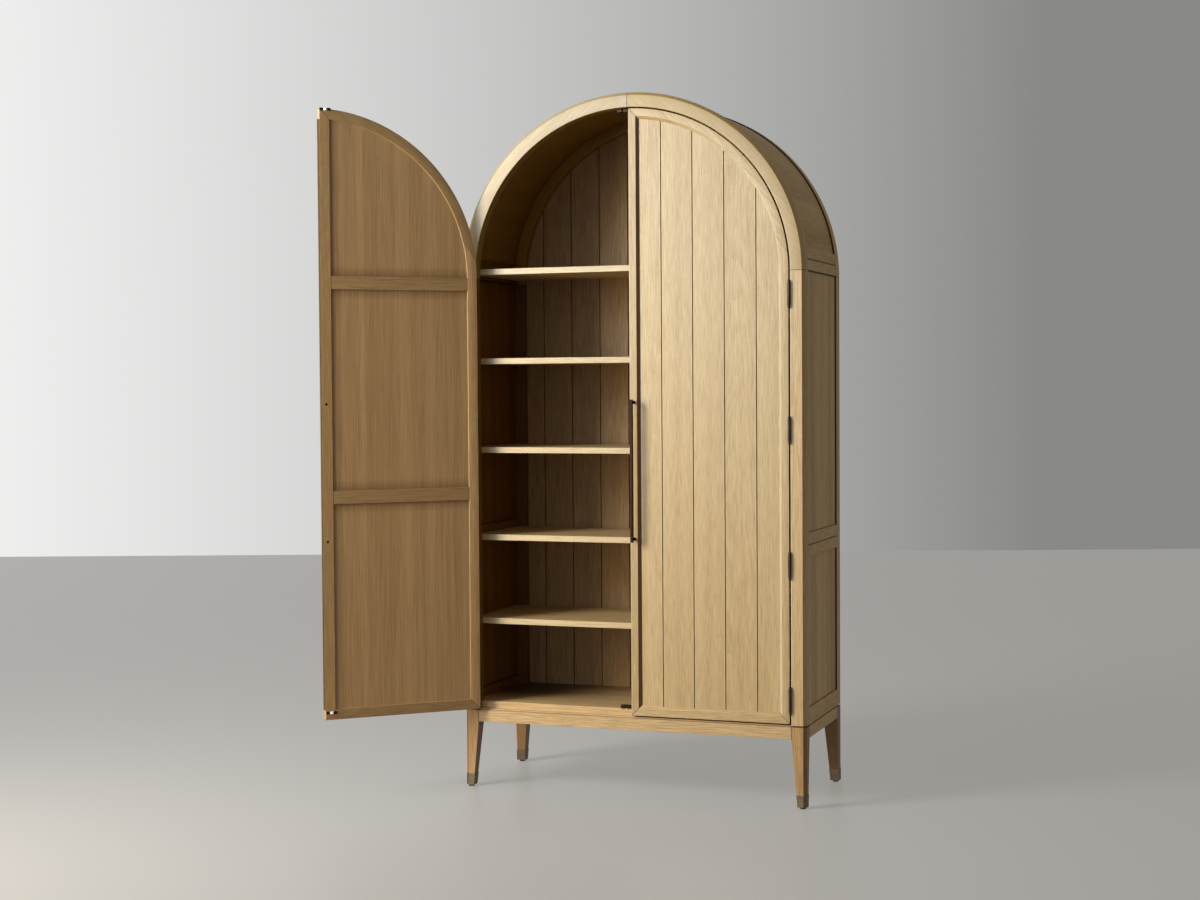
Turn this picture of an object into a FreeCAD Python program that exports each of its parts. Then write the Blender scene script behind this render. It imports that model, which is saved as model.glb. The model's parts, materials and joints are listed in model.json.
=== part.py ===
import FreeCAD, Part
import math
import os
import Sketcher

doc = FreeCAD.newDocument("arched_cabinet")

# Driving sizes in millimetres, and angles in degrees. X runs across the front, Y to the back, Z up.
driving = {
    # whole cabinet
    "width": 1230, "depth": 500, "height": 2400,
    # front and rear frame
    "post_width": 50, "post_depth": 45, "rear_post_depth": 50, "edge_chamfer": 10, "edge_ease": 1.2,
    # base
    "base_height": 272, "apron_height": 40, "apron_thick": 22, "shadow_gap": 5, "base_inset": 10,
    "leg_depth": 48, "foot_span": 29,
    "ferrule_height": 40, "ferrule_wall": 1.2, "ferrule_sole": 2, "rim_height": 2, "rim_proud": 0.5,
    # glides
    "glide_height": 5.5, "glide_radius": 10, "glide_edge": 1, "glide_gap": 0.5,
    "stem_radius": 4, "stem_length": 26, "stem_room": 1,
    # sides and roof
    "rail_thick": 25, "bottom_rail_height": 56, "mid_rail_height": 40, "lower_panel_height": 503,
    "arch_rail_angle": 3.6, "panel_thick": 6, "panel_recess": 5, "groove_depth": 8, "groove_play": 0.1,
    # floor, shelves and back
    "floor_thick": 24, "floor_setback": 5, "shelf_thick": 20, "shelf_play": 1.5,
    "lower_shelf_drop": 8, "upper_shelf_rise": 15,
    "pin_radius": 3, "pin_length": 18, "pin_seat": 10, "pin_inset": 14,
    "back_thick": 12, "back_inset": 22, "rebate_width": 12,
    # planks
    "plank_pitch": 110.4, "vee_width": 4, "vee_depth": 2.5,
    # doors
    "door_thick": 22, "door_gap": 5, "meeting_gap": 9, "frame_width": 35,
    "lip_width": 6, "lip_thick": 9,
    "bevel_width": 9.5, "bevel_depth": 8.5, "front_recess": 9, "plank_thick": 6, "veneer_thick": 3,
    "slot_depth": 8, "cross_rail_height": 45, "lower_cross_rail": 732,
    "scarf_outer": 59, "scarf_inner": 131, "left_open_angle": 136.7,
    # door hinges
    "hinge_end": 79, "leaf_height": 76, "leaf_thick": 2, "leaf_depth": 20,
    "barrel_radius": 5, "pin_core": 2.5, "finial_height": 9, "finial_radius": 4.2, "finial_tip": 1.5,
    "knuckle_gap": 0.5, "leaf_gap": 0.4,
    # handles
    "handle_inset": 14.5, "handle_bore_pitch": 465, "handle_overhang": 10, "handle_height": 837, "bar_side": 10,
    "bar_edge": 0.8, "standoff_length": 22, "standoff_radius": 4.5, "standoff_bore_depth": 14,
    "bolt_radius": 2, "bolt_grip": 12, "bolt_head_radius": 4.2, "bolt_head_height": 3,
    "counterbore_depth": 6, "counterbore_radius": 5,
    # ball catches
    "catch_offset": 25, "catch_length": 36, "catch_depth": 17, "catch_height": 11, "catch_gap": 1,
    "catch_slot": 8, "slot_floor": 3, "ball_radius": 3, "ball_room": 0.15, "ball_back": 7,
    "strike_length": 38, "strike_height": 9, "strike_thick": 1.5,
    "tongue_thick": 1.6, "tongue_length": 12, "tongue_height": 7, "tongue_play": 0.3,
    # fits
    "running_fit": 0.05, "loose_fit": 0.3, "overrun": 20,
}

sheet = doc.addObject("Spreadsheet::Sheet", "sizes")
for row, (alias, number) in enumerate(driving.items(), start=1):
    sheet.set("A%d" % row, alias)
    sheet.set("B%d" % row, str(number))
    sheet.setAlias("B%d" % row, alias)
doc.recompute()


# A length or an angle: the formula that the document keeps, and its value now
class Size:
    def __init__(self, formula, value):
        self.formula = formula
        self.value = float(value)

    def __add__(self, other):
        other = as_size(other)
        return Size("(%s + %s)" % (self.formula, other.formula), self.value + other.value)

    def __radd__(self, other):
        return as_size(other) + self

    def __sub__(self, other):
        other = as_size(other)
        return Size("(%s - %s)" % (self.formula, other.formula), self.value - other.value)

    def __rsub__(self, other):
        return as_size(other) - self

    def __mul__(self, other):
        other = as_size(other)
        return Size("(%s * %s)" % (self.formula, other.formula), self.value * other.value)

    def __rmul__(self, other):
        return as_size(other) * self

    def __truediv__(self, other):
        other = as_size(other)
        return Size("(%s / %s)" % (self.formula, other.formula), self.value / other.value)

    def __neg__(self):
        return Size("(0 - %s)" % self.formula, -self.value)


def as_size(thing):
    return thing if isinstance(thing, Size) else Size(repr(thing), thing)


def size(alias):
    return Size("sizes.%s" % alias, driving[alias])


def root(thing):
    return Size("sqrt(%s)" % thing.formula, math.sqrt(thing.value))


def cosine(angle):
    return Size("cos(%s)" % angle.formula, math.cos(math.radians(angle.value)))


def sine(angle):
    return Size("sin(%s)" % angle.formula, math.sin(math.radians(angle.value)))


# Height of a circle of this radius above its centre, this far across
def rise(radius, across):
    return root(radius * radius - across * across)


# Places that several pieces share
half_width = size("width") / 2
depth = size("depth")
spring = size("height") - half_width
body_bottom = size("base_height") + size("shadow_gap")
apron_bottom = size("base_height") - size("apron_height")
inner_radius = half_width - size("post_width")
skin_outer = half_width - size("panel_recess")
skin_inner = skin_outer - size("panel_thick")
rail_inner = half_width - size("rail_thick")
rear_face = depth - size("rear_post_depth")
back_front = depth - size("back_inset")
floor_top = body_bottom + size("floor_thick")
door_radius = inner_radius - size("door_gap")
door_inner = door_radius - size("frame_width")
door_edge = size("meeting_gap") / 2
stile_inner = door_edge + size("frame_width")
door_bottom = body_bottom + size("door_gap")
hinge_x = inner_radius - size("door_gap") / 2
hinge_y = -size("barrel_radius")
handle_x = door_edge + size("handle_inset")
bar_front = -(size("standoff_length") + size("bar_side"))
sole = size("glide_height") + size("glide_gap")
leg_end = sole + size("ferrule_sole")
ferrule_top = sole + size("ferrule_height")
foot_reach = size("foot_span") / 2
slot_outer = skin_outer + size("groove_play")
slot_inner = skin_inner - size("groove_play")
lower_panel_bottom = body_bottom + size("bottom_rail_height")
mid_rail_bottom = lower_panel_bottom + size("lower_panel_height")
mid_seam = mid_rail_bottom + size("mid_rail_height")
mid_rail_top = mid_seam + size("mid_rail_height")
lower_shelf = mid_seam - size("lower_shelf_drop")
upper_shelf = spring + size("upper_shelf_rise")

# Where the adjustable shelves lie between the fixed ones, as shares of the room from one to the next
lower_room_shares = [0.48]
upper_room_shares = [0.315, 0.657]

# The frame's origin is the middle of the part's box, on the floor, with the left door open
swing = size("left_open_angle")
bar_reach = hinge_x - handle_x + size("bar_side") / 2
bar_lift = bar_front - hinge_y + size("bar_edge")
edge_reach = hinge_x - door_edge + size("lip_width")
edge_lift = size("door_thick") - hinge_y
box_left = -hinge_x + bar_reach * cosine(swing) + bar_lift * sine(swing)
box_front = hinge_y - edge_reach * sine(swing) + edge_lift * cosine(swing)
box_margin = size("ferrule_wall") + size("rim_proud")
origin_x = (box_left + half_width + box_margin) / 2
origin_y = (box_front + depth + box_margin) / 2

nodes = {}
cuts = []


def bind(thing, path, formula_size):
    thing.setExpression(path, as_size(formula_size).formula)


# Put an object's own origin at this place in the cabinet, turned about Y if asked
def place(thing, x=0, y=0, z=0, turn=None):
    if turn is not None:
        thing.Placement = FreeCAD.Placement(
            FreeCAD.Vector(0, 0, 0), FreeCAD.Rotation(FreeCAD.Vector(0, 1, 0), -turn.value))
        bind(thing, "Placement.Rotation.Angle", turn)
        thing.Placement.Rotation.Axis = FreeCAD.Vector(0, -1, 0)
    bind(thing, "Placement.Base.x", x - origin_x)
    bind(thing, "Placement.Base.y", y - origin_y)
    bind(thing, "Placement.Base.z", z)


# Put a primitive at a place measured from the cabinet's front centre, for a group to carry
def spot(thing, x, y, z):
    bind(thing, "Placement.Base.x", x)
    bind(thing, "Placement.Base.y", y)
    bind(thing, "Placement.Base.z", z)
    return thing


def keep(label, thing):
    thing.Label = label
    nodes[label] = thing
    return thing


def new_body(name):
    return doc.addObject("PartDesign::Body", name)


def origin_part(body, role):
    for feature in body.Origin.OriginFeatures:
        if feature.Role == role:
            return feature
    raise ValueError(role)


def new_sketch(body, plane, lift):
    sketch = body.newObject("Sketcher::SketchObject", body.Name + "_sketch")
    sketch.AttachmentSupport = [(origin_part(body, plane), "")]
    sketch.MapMode = "FlatFace"
    if lift is not None:
        bind(sketch, "AttachmentOffset.Base.z", lift)
    return sketch


# Closed outlines of straight lines, every corner held by its own two distances
def draw(body, plane, outlines, lift=None):
    sketch = new_sketch(body, plane, lift)
    for outline in outlines:
        corners = [(as_size(across), as_size(up)) for across, up in outline]
        count = len(corners)
        first = sketch.GeometryCount
        lines = []
        for here in range(count):
            start = corners[here]
            end = corners[(here + 1) % count]
            lines.append(Part.LineSegment(
                FreeCAD.Vector(start[0].value, start[1].value, 0),
                FreeCAD.Vector(end[0].value, end[1].value, 0)))
        sketch.addGeometry(lines, False)
        rules = []
        for here in range(count):
            follower = first + (here + 1) % count
            rules.append(Sketcher.Constraint("Coincident", first + here, 2, follower, 1))
        sketch.addConstraint(rules)
        for here, (across, up) in enumerate(corners):
            for kind, distance in (("DistanceX", across), ("DistanceY", up)):
                held = sketch.addConstraint(
                    Sketcher.Constraint(kind, first + here, 1, distance.value))
                bind(sketch, "Constraints[%d]" % held, distance)
    return sketch


def draw_circles(body, plane, circles, lift=None):
    sketch = new_sketch(body, plane, lift)
    for across, up, radius in circles:
        across = as_size(across)
        up = as_size(up)
        centre = FreeCAD.Vector(across.value, up.value, 0)
        circle = sketch.addGeometry(
            Part.Circle(centre, FreeCAD.Vector(0, 0, 1), radius.value), False)
        for kind, distance in (("DistanceX", across), ("DistanceY", up)):
            held = sketch.addConstraint(Sketcher.Constraint(kind, circle, 3, distance.value))
            bind(sketch, "Constraints[%d]" % held, distance)
        held = sketch.addConstraint(Sketcher.Constraint("Radius", circle, radius.value))
        bind(sketch, "Constraints[%d]" % held, radius)
    return sketch


def pad(body, sketch, length, backwards=False):
    feature = body.newObject("PartDesign::Pad", body.Name + "_pad")
    feature.Profile = sketch
    feature.Reversed = backwards
    bind(feature, "Length", length)
    return feature


def pocket(body, sketch, length, backwards=False):
    feature = body.newObject("PartDesign::Pocket", body.Name + "_pocket")
    feature.Profile = sketch
    feature.Reversed = backwards
    bind(feature, "Length", length)
    cuts.append(feature)
    return feature


def revolve(body, sketch, axis, angle, backwards=False):
    feature = body.newObject("PartDesign::Revolution", body.Name + "_revolution")
    feature.Profile = sketch
    feature.ReferenceAxis = (origin_part(body, axis), [""])
    feature.Reversed = backwards
    bind(feature, "Angle", angle)
    return feature


def loft(body, kind, sketches):
    feature = body.newObject("PartDesign::" + kind, body.Name + "_loft")
    feature.Profile = sketches[0]
    feature.Sections = sketches[1:]
    if kind == "SubtractiveLoft":
        cuts.append(feature)
    return feature


# The same piece on the other side of the cabinet's middle
def mirrored(label, source):
    copy = doc.addObject("Part::Mirroring", label)
    copy.Source = source
    copy.Normal = (1, 0, 0)
    bind(copy, "Base.x", -origin_x)
    return copy


def group(name, members):
    gathered = doc.addObject("Part::Compound", name)
    gathered.Links = members
    return gathered


def box(name, low, high):
    block = doc.addObject("Part::Box", name)
    bind(block, "Length", high[0] - low[0])
    bind(block, "Width", high[1] - low[1])
    bind(block, "Height", high[2] - low[2])
    return spot(block, low[0], low[1], low[2])


def cylinder(name, radius, length, x, y, z, axis="z"):
    rod = doc.addObject("Part::Cylinder", name)
    if axis != "z":
        along = {"x": FreeCAD.Vector(1, 0, 0), "y": FreeCAD.Vector(0, 1, 0)}[axis]
        rod.Placement = FreeCAD.Placement(
            FreeCAD.Vector(0, 0, 0), FreeCAD.Rotation(FreeCAD.Vector(0, 0, 1), along))
    bind(rod, "Radius", radius)
    bind(rod, "Height", length)
    return spot(rod, x, y, z)


def fuse(name, members):
    joined = doc.addObject("Part::MultiFuse", name)
    joined.Shapes = members
    return joined


def cut(name, base, tool):
    less = doc.addObject("Part::Cut", name)
    less.Base = base
    less.Tool = tool
    return less


# A rectangle seen from above, with its outer front corner cut off where one is given
def plan(x_in, x_out, y_in, y_out, corner=None):
    if corner is None:
        return [(x_in, y_in), (x_out, y_in), (x_out, y_out), (x_in, y_out)]
    return [(x_in, y_in), (x_out - corner, y_in), (x_out, y_in + corner), (x_out, y_out),
            (x_in, y_out)]


# Legs: upright on the outer faces, tapered on the two inner faces below the apron
def leg_plan(place_name, height, margin=0):
    taper = (height - leg_end) / (apron_bottom - leg_end)
    across = size("foot_span") + (size("post_width") - size("foot_span")) * taper
    along = size("foot_span") + (size("leg_depth") - size("foot_span")) * taper
    x_in = half_width - across - margin
    x_out = half_width + margin
    if place_name == "front":
        corner_share = 2 - math.sqrt(2)
        corner = size("edge_chamfer") + as_size(margin) * corner_share
        return plan(x_in, x_out, as_size(0) - margin, along + margin, corner)
    return plan(x_in, x_out, depth - along - margin, depth + margin)


def foot_centre(place_name):
    y = foot_reach if place_name == "front" else depth - foot_reach
    return half_width - foot_reach, y


def make_leg(place_name):
    body = new_body("leg_" + place_name)
    top = draw(body, "XY_Plane", [leg_plan(place_name, apron_bottom)], apron_bottom)
    end = draw(body, "XY_Plane", [leg_plan(place_name, leg_end)], leg_end)
    loft(body, "AdditiveLoft", [top, end])
    head = draw(body, "XY_Plane", [leg_plan(place_name, apron_bottom)], apron_bottom)
    pad(body, head, size("apron_height"))
    x, y = foot_centre(place_name)
    bore = draw_circles(
        body, "XY_Plane", [(x, y, size("stem_radius") + size("running_fit"))], leg_end)
    pocket(body, bore, size("stem_length") + size("stem_room"), backwards=True)
    place(body)
    return body


# Ferrules: thin metal cups round the leg ends, with a proud rim at the top
def make_ferrule(place_name):
    body = new_body("ferrule_" + place_name)
    wall = size("ferrule_wall")
    top = draw(body, "XY_Plane", [leg_plan(place_name, ferrule_top, wall)], ferrule_top)
    end = draw(body, "XY_Plane", [leg_plan(place_name, sole, wall)], sole)
    loft(body, "AdditiveLoft", [top, end])
    rim = draw(
        body, "XY_Plane", [leg_plan(place_name, ferrule_top, wall + size("rim_proud"))], ferrule_top)
    pad(body, rim, size("rim_height"), backwards=True)
    mouth = draw(body, "XY_Plane", [leg_plan(place_name, ferrule_top)], ferrule_top)
    floor = draw(body, "XY_Plane", [leg_plan(place_name, leg_end)], leg_end)
    loft(body, "SubtractiveLoft", [mouth, floor])
    x, y = foot_centre(place_name)
    hole = draw_circles(body, "XY_Plane", [(x, y, size("stem_radius") + size("running_fit"))], leg_end)
    pocket(body, hole, size("ferrule_sole"))
    place(body)
    return body


# Glides: a turned foot on a threaded stem
def make_glide(label, place_name, side):
    body = new_body(label)
    radius = size("glide_radius")
    edge = size("glide_edge")
    top = size("glide_height")
    stem = size("stem_radius")
    outline = [
        (0, 0), (radius - edge, 0), (radius, edge), (radius, top - edge), (radius - edge, top),
        (stem, top), (stem, top + size("stem_length")), (0, top + size("stem_length"))]
    revolve(body, draw(body, "XZ_Plane", [outline]), "Z_Axis", as_size(360))
    x, y = foot_centre(place_name)
    place(body, x * side, y, as_size(0))
    return keep(label, body)


def make_base():
    for place_name in ("front", "rear"):
        right = keep("leg_%s_right" % place_name, make_leg(place_name))
        keep("leg_%s_left" % place_name, mirrored("leg_%s_left" % place_name, right))
        for side_name, side in (("left", -1), ("right", 1)):
            make_glide("glide_%s_%s" % (place_name, side_name), place_name, side)
    cups = [make_ferrule(place_name) for place_name in ("front", "rear")]
    cups += [mirrored(cup.Name + "_left", cup) for cup in cups]
    keep("ferrules", group("ferrules", cups))
    between = half_width - size("post_width")
    thick = size("apron_thick")
    top = size("base_height")
    long_plan = plan(-between, between, as_size(0), thick)
    for label, y in (("front_apron", as_size(0)), ("rear_apron", depth - thick)):
        body = new_body(label)
        pad(body, draw(body, "XY_Plane", [long_plan]), size("apron_height"))
        place(body, as_size(0), y, apron_bottom)
        keep(label, body)
    side_plan = plan(half_width - thick, half_width, size("leg_depth"), depth - size("leg_depth"))
    body = new_body("side_apron")
    pad(body, draw(body, "XY_Plane", [side_plan]), size("apron_height"))
    place(body, z=apron_bottom)
    keep("side_aprons", group("side_aprons", [body, mirrored("side_apron_left", body)]))
    inset = size("base_inset")
    body = new_body("base_plate")
    wide = half_width - inset
    pad(body, draw(body, "XY_Plane", [plan(-wide, wide, inset, depth - inset)]), size("shadow_gap"))
    place(body, z=top)
    keep("base_plate", body)


# Cross-section of the front frame, across and front to back, with the groove for the side skin
def front_section():
    far = size("post_depth")
    groove = far - size("groove_depth")
    corner = size("edge_chamfer")
    ease = size("edge_ease")
    return [
        (inner_radius + ease, 0), (half_width - corner, 0), (half_width, corner), (half_width, far),
        (slot_outer, far), (slot_outer, groove), (slot_inner, groove), (slot_inner, far),
        (inner_radius, far), (inner_radius, ease)]


# Cross-section of the rear frame, with the groove for the side skin and the rebate for the back
def rear_section():
    groove = rear_face + size("groove_depth")
    rebate = inner_radius + size("rebate_width")
    ease = size("edge_ease")
    return [
        (inner_radius, rear_face), (slot_inner, rear_face), (slot_inner, groove),
        (slot_outer, groove), (slot_outer, rear_face), (half_width, rear_face),
        (half_width, depth - ease), (half_width - ease, depth), (rebate, depth), (rebate, back_front),
        (inner_radius, back_front)]


# Undersides of the adjustable shelves
def loose_levels():
    lower_room = lower_shelf - floor_top
    above = lower_shelf + size("shelf_thick")
    upper_room = upper_shelf - above
    levels = [floor_top + lower_room * share for share in lower_room_shares]
    return levels + [above + upper_room * share for share in upper_room_shares]


def pin_spots():
    return [level - size("pin_radius") for level in loose_levels()]


def make_post(label, section, face, towards_back):
    body = new_body(label)
    pad(body, draw(body, "XY_Plane", [section], body_bottom), spring - body_bottom)
    radius = size("pin_radius") + size("running_fit")
    x = half_width - size("pin_inset") - size("rail_thick") / 2
    seats = [(x, level, radius) for level in pin_spots()]
    bores = draw_circles(body, "XZ_Plane", seats, -face)
    pocket(body, bores, size("pin_seat") + size("running_fit"), backwards=not towards_back)
    place(body)
    return keep(label, body)


# A quarter of an arch ring, turned from its cross-section about the arch's centre
def make_quarter(label, section):
    body = new_body(label)
    revolve(body, draw(body, "XY_Plane", [section]), "Y_Axis", as_size(90), backwards=True)
    place(body, z=spring)
    return keep(label, body)


def make_frames():
    front = make_post("post_front_right", front_section(), size("post_depth"), False)
    rear = make_post("post_rear_right", rear_section(), rear_face, True)
    keep("post_front_left", mirrored("post_front_left", front))
    keep("post_rear_left", mirrored("post_rear_left", rear))
    arch = make_quarter("arch_front_right", front_section())
    keep("arch_front_left", mirrored("arch_front_left", arch))
    arch = make_quarter("arch_rear_right", rear_section())
    keep("arch_rear_left", mirrored("arch_rear_left", arch))


# Side rails run front to back; a groove in the top, the bottom or neither takes a panel
def rail_section(low, high, groove_below, groove_above):
    points = [(rail_inner, low)]
    if groove_below:
        inside = low + size("groove_depth")
        points += [(slot_inner, low), (slot_inner, inside), (slot_outer, inside), (slot_outer, low)]
    points += [(half_width, low), (half_width, high)]
    if groove_above:
        inside = high - size("groove_depth")
        points += [(slot_outer, high), (slot_outer, inside), (slot_inner, inside), (slot_inner, high)]
    points.append((rail_inner, high))
    return points


def make_rail(name, low, high, groove_below, groove_above):
    body = new_body(name)
    sketch = draw(
        body, "XZ_Plane", [rail_section(low, high, groove_below, groove_above)], -size("post_depth"))
    pad(body, sketch, rear_face - size("post_depth"), backwards=True)
    place(body)
    return body


def make_arch_rail(name, turns, grooved):
    body = new_body(name)
    section = plan(rail_inner, half_width, size("post_depth"), rear_face)
    revolve(
        body, draw(body, "XY_Plane", [section]), "Y_Axis", size("arch_rail_angle"), backwards=True)
    if grooved:
        reach = size("groove_depth")
        slot = draw(
            body, "XZ_Plane", [plan(slot_inner, slot_outer, as_size(0), reach)], -size("post_depth"))
        pocket(body, slot, rear_face - size("post_depth"))
    place(body, z=spring, turn=size("arch_rail_angle") * turns)
    return body


def make_panel(name, low, high):
    play = size("loose_fit")
    hidden = size("groove_depth") - play
    body = new_body(name)
    outline = plan(
        skin_inner, skin_outer, size("post_depth") - hidden, rear_face + hidden)
    pad(body, draw(body, "XY_Plane", [outline], low - hidden), high - low + hidden * 2)
    place(body)
    return body


def make_sides():
    rails = [
        make_rail("bottom_rail", body_bottom, lower_panel_bottom, False, True),
        make_rail("mid_rail_lower", mid_rail_bottom, mid_seam, True, False),
        make_rail("mid_rail_upper", mid_seam, mid_rail_top, False, True),
        make_arch_rail("arch_rail_lower", 0, True),
        make_arch_rail("arch_rail_upper", 1, False)]
    right = keep("side_rails_right", group("side_rails_right", rails))
    keep("side_rails_left", mirrored("side_rails_left", right))
    panels = [
        make_panel("panel_lower", lower_panel_bottom, mid_rail_bottom),
        make_panel("panel_upper", mid_rail_top, spring)]
    right = keep("side_panels_right", group("side_panels_right", panels))
    keep("side_panels_left", mirrored("side_panels_left", right))


# Roof: a thin skin bent between the grooves of the front and rear arches
def make_roof():
    body = new_body("roof_panel")
    hidden = size("groove_depth") - size("loose_fit")
    section = plan(skin_inner, skin_outer, size("post_depth") - hidden, rear_face + hidden)
    start = size("arch_rail_angle") * 2
    revolve(body, draw(body, "XY_Plane", [section]), "Y_Axis", 180 - start * 2, backwards=True)
    place(body, z=spring, turn=start)
    keep("roof_panel", body)


def make_floor():
    narrow = inner_radius
    wide = rail_inner
    front = size("door_thick") + size("floor_setback")
    near = size("post_depth")
    outline = [
        (-narrow, front), (narrow, front), (narrow, near), (wide, near), (wide, rear_face),
        (narrow, rear_face), (narrow, back_front), (-narrow, back_front), (-narrow, rear_face),
        (-wide, rear_face), (-wide, near), (-narrow, near)]
    body = new_body("floor_board")
    pad(body, draw(body, "XY_Plane", [outline]), size("floor_thick"))
    place(body, z=body_bottom)
    keep("floor_board", body)


# Shelves: two are built in at the side rails, the others lie on pins between the posts
def make_shelf(name, reach, level):
    play = size("shelf_play")
    outline = plan(-reach, reach, size("post_depth") + play, rear_face - play)
    body = new_body(name)
    pad(body, draw(body, "XY_Plane", [outline]), size("shelf_thick"))
    spot(body, as_size(0), as_size(0), level)
    return body


def make_shelves():
    top_reach = rise(rail_inner, upper_shelf + size("shelf_thick") - spring)
    for label, reach, level in (
            ("fixed_shelf_lower", rail_inner, lower_shelf), ("fixed_shelf_upper", top_reach, upper_shelf)):
        shelf = make_shelf(label, reach, level)
        place(shelf, z=level)
        keep(label, shelf)
    reach = skin_inner - size("shelf_play")
    loose = [
        make_shelf("loose_shelf_%d" % (index + 1), reach, level)
        for index, level in enumerate(loose_levels())]
    shelves = group("adjustable_shelves", loose)
    place(shelves)
    keep("adjustable_shelves", shelves)


def make_shelf_pins():
    x = half_width - size("pin_inset") - size("rail_thick") / 2
    length = size("pin_length")
    pins = []
    for index, level in enumerate(pin_spots()):
        for side in (-1, 1):
            front = size("post_depth") - size("pin_seat")
            back = rear_face + size("pin_seat") - length
            for row, start in (("front", front), ("rear", back)):
                name = "shelf_pin_%s_%d_%d" % (row, index, side + 1)
                pins.append(cylinder(name, size("pin_radius"), length, x * side, start, level, "y"))
    pegs = group("shelf_pins", pins)
    place(pegs)
    keep("shelf_pins", pegs)


# Notches of the planked panels, as seen from above on the panel's front face
def vee_outline(x, face):
    half = size("vee_width") / 2
    return [(x - half, face), (x + half, face), (x, face + size("vee_depth"))]


# Back: one arched board with the plank joints cut in its front
def make_back():
    radius = inner_radius + size("rebate_width") - size("loose_fit")
    body = new_body("back_panel")
    lower = plan(-radius, radius, body_bottom - spring, as_size(0))
    pad(body, draw(body, "XZ_Plane", [lower], -back_front), size("back_thick"), backwards=True)
    disc = draw_circles(body, "XZ_Plane", [(0, 0, radius)], -back_front)
    pad(body, disc, size("back_thick"), backwards=True)
    pitch = size("plank_pitch")
    reach = int((radius.value - size("vee_width").value) / pitch.value - 0.5)
    places = [pitch * (step + 0.5) for step in range(-reach - 1, reach + 1)]
    vees = [vee_outline(x, back_front) for x in places]
    low = body_bottom - spring - size("overrun")
    pocket(body, draw(body, "XY_Plane", vees, low), radius - low + size("overrun"), backwards=True)
    place(body, z=spring)
    keep("back_panel", body)


def catch_levels():
    height = size("catch_height")
    top = spring + rise(inner_radius, size("catch_offset") + size("catch_length") / 2)
    return (("bottom", floor_top), ("top", top - height))


# Ball catches: a block with a slot open to the front, and a ball in the bore on each side of it
def make_catches():
    front = size("door_thick") + size("strike_thick") + size("catch_gap")
    back = front + size("catch_depth")
    ball_y = front + size("ball_back")
    gap = size("tongue_thick") / 2 + size("tongue_play") + size("ball_radius")
    housings = []
    balls = []
    for side in (-1, 1):
        for row, low in catch_levels():
            x = size("catch_offset") * side
            half = size("catch_length") / 2
            slot = size("catch_slot") / 2
            high = low + size("catch_height")
            middle = low + size("catch_height") / 2
            name = "catch_%s_%d" % (row, side + 1)
            block = box(name, (x - half, front, low), (x + half, back, high))
            room = box(
                name + "_slot", (x - slot, front - size("overrun"), low - size("overrun")),
                (x + slot, back - size("slot_floor"), high + size("overrun")))
            seat_radius = size("ball_radius") + size("ball_room")
            reach = gap + seat_radius
            seats = cylinder(name + "_seats", seat_radius, reach * 2, x - reach, ball_y, middle, "x")
            housings.append(cut(name + "_housing", block, fuse(name + "_tools", [room, seats])))
            for way in (-1, 1):
                ball = doc.addObject("Part::Sphere", name + "_ball_%d" % (way + 1))
                bind(ball, "Radius", size("ball_radius"))
                balls.append(spot(ball, x + gap * way, ball_y, middle))
    for label, members in (("catch_housings", housings), ("catch_balls", balls)):
        made = group(label, members)
        place(made)
        keep(label, made)


# Door frame cross-section: eased outer edges, bevelled inner front edge, and the slot for the panels.
# outer and inner are distances along the member's width; the sign of their difference sets the side.
def frame_section(outer, inner):
    towards = 1 if inner.value > outer.value else -1
    ease = size("edge_ease")
    eased = outer + ease * towards
    bevel = inner - size("bevel_width") * towards
    slot = inner - size("slot_depth") * towards
    front = size("front_recess")
    back = front + size("plank_thick") + size("veneer_thick")
    thick = size("door_thick")
    return [
        (eased, 0), (bevel, 0), (inner, size("bevel_depth")), (inner, front), (slot, front),
        (slot, back), (inner, back), (inner, thick), (eased, thick), (outer, thick - ease),
        (outer, ease)]


door_height = spring + rise(door_radius, door_edge) - door_bottom
corner_height = spring + rise(door_inner, stile_inner)
bottom_inner = door_bottom + size("frame_width")


def handle_levels():
    middle = door_bottom + size("handle_height")
    half = size("handle_bore_pitch") / 2
    return middle - half, middle + half


# Cut everything on one side of a straight joint line, seen from the front
def cut_beyond(body, start, end, shift_x, shift_z, local):
    far_start = (start[0] + shift_x, start[1] + shift_z)
    far_end = (end[0] + shift_x, end[1] + shift_z)
    points = [start, end, far_end, far_start]
    if local:
        points = [(x, z - spring) for x, z in points]
    sketch = draw(body, "XZ_Plane", [points], size("overrun"))
    pocket(body, sketch, size("overrun") * 2 + size("door_thick"))


# Points along a line a little past both its ends, so that a cut clears the corners
def stretched(start, end, share=0.2):
    step_x = (end[0] - start[0]) * share
    step_z = (end[1] - start[1]) * share
    return (start[0] - step_x, start[1] - step_z), (end[0] + step_x, end[1] + step_z)


def top_mitre():
    return (door_edge, door_bottom + door_height), (stile_inner, corner_height)


def make_meeting_stile():
    body = new_body("right_meeting_stile")
    section = frame_section(door_edge, stile_inner)
    pad(body, draw(body, "XY_Plane", [section], door_bottom), door_height)
    reach = size("frame_width") + size("overrun")
    start, end = stretched(*top_mitre())
    cut_beyond(body, start, end, as_size(0), reach, False)
    start, end = stretched((door_edge, door_bottom), (stile_inner, bottom_inner))
    cut_beyond(body, start, end, as_size(0), -reach, False)
    levels = handle_levels()
    bores = [(handle_x, level, size("bolt_radius") + size("loose_fit")) for level in levels]
    pocket(body, draw_circles(body, "XZ_Plane", bores), size("door_thick"))
    wells = [(handle_x, level, size("counterbore_radius")) for level in levels]
    well_sketch = draw_circles(body, "XZ_Plane", wells, -size("door_thick"))
    pocket(body, well_sketch, size("counterbore_depth"), backwards=True)
    place(body)
    return keep("right_meeting_stile", body)


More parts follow.
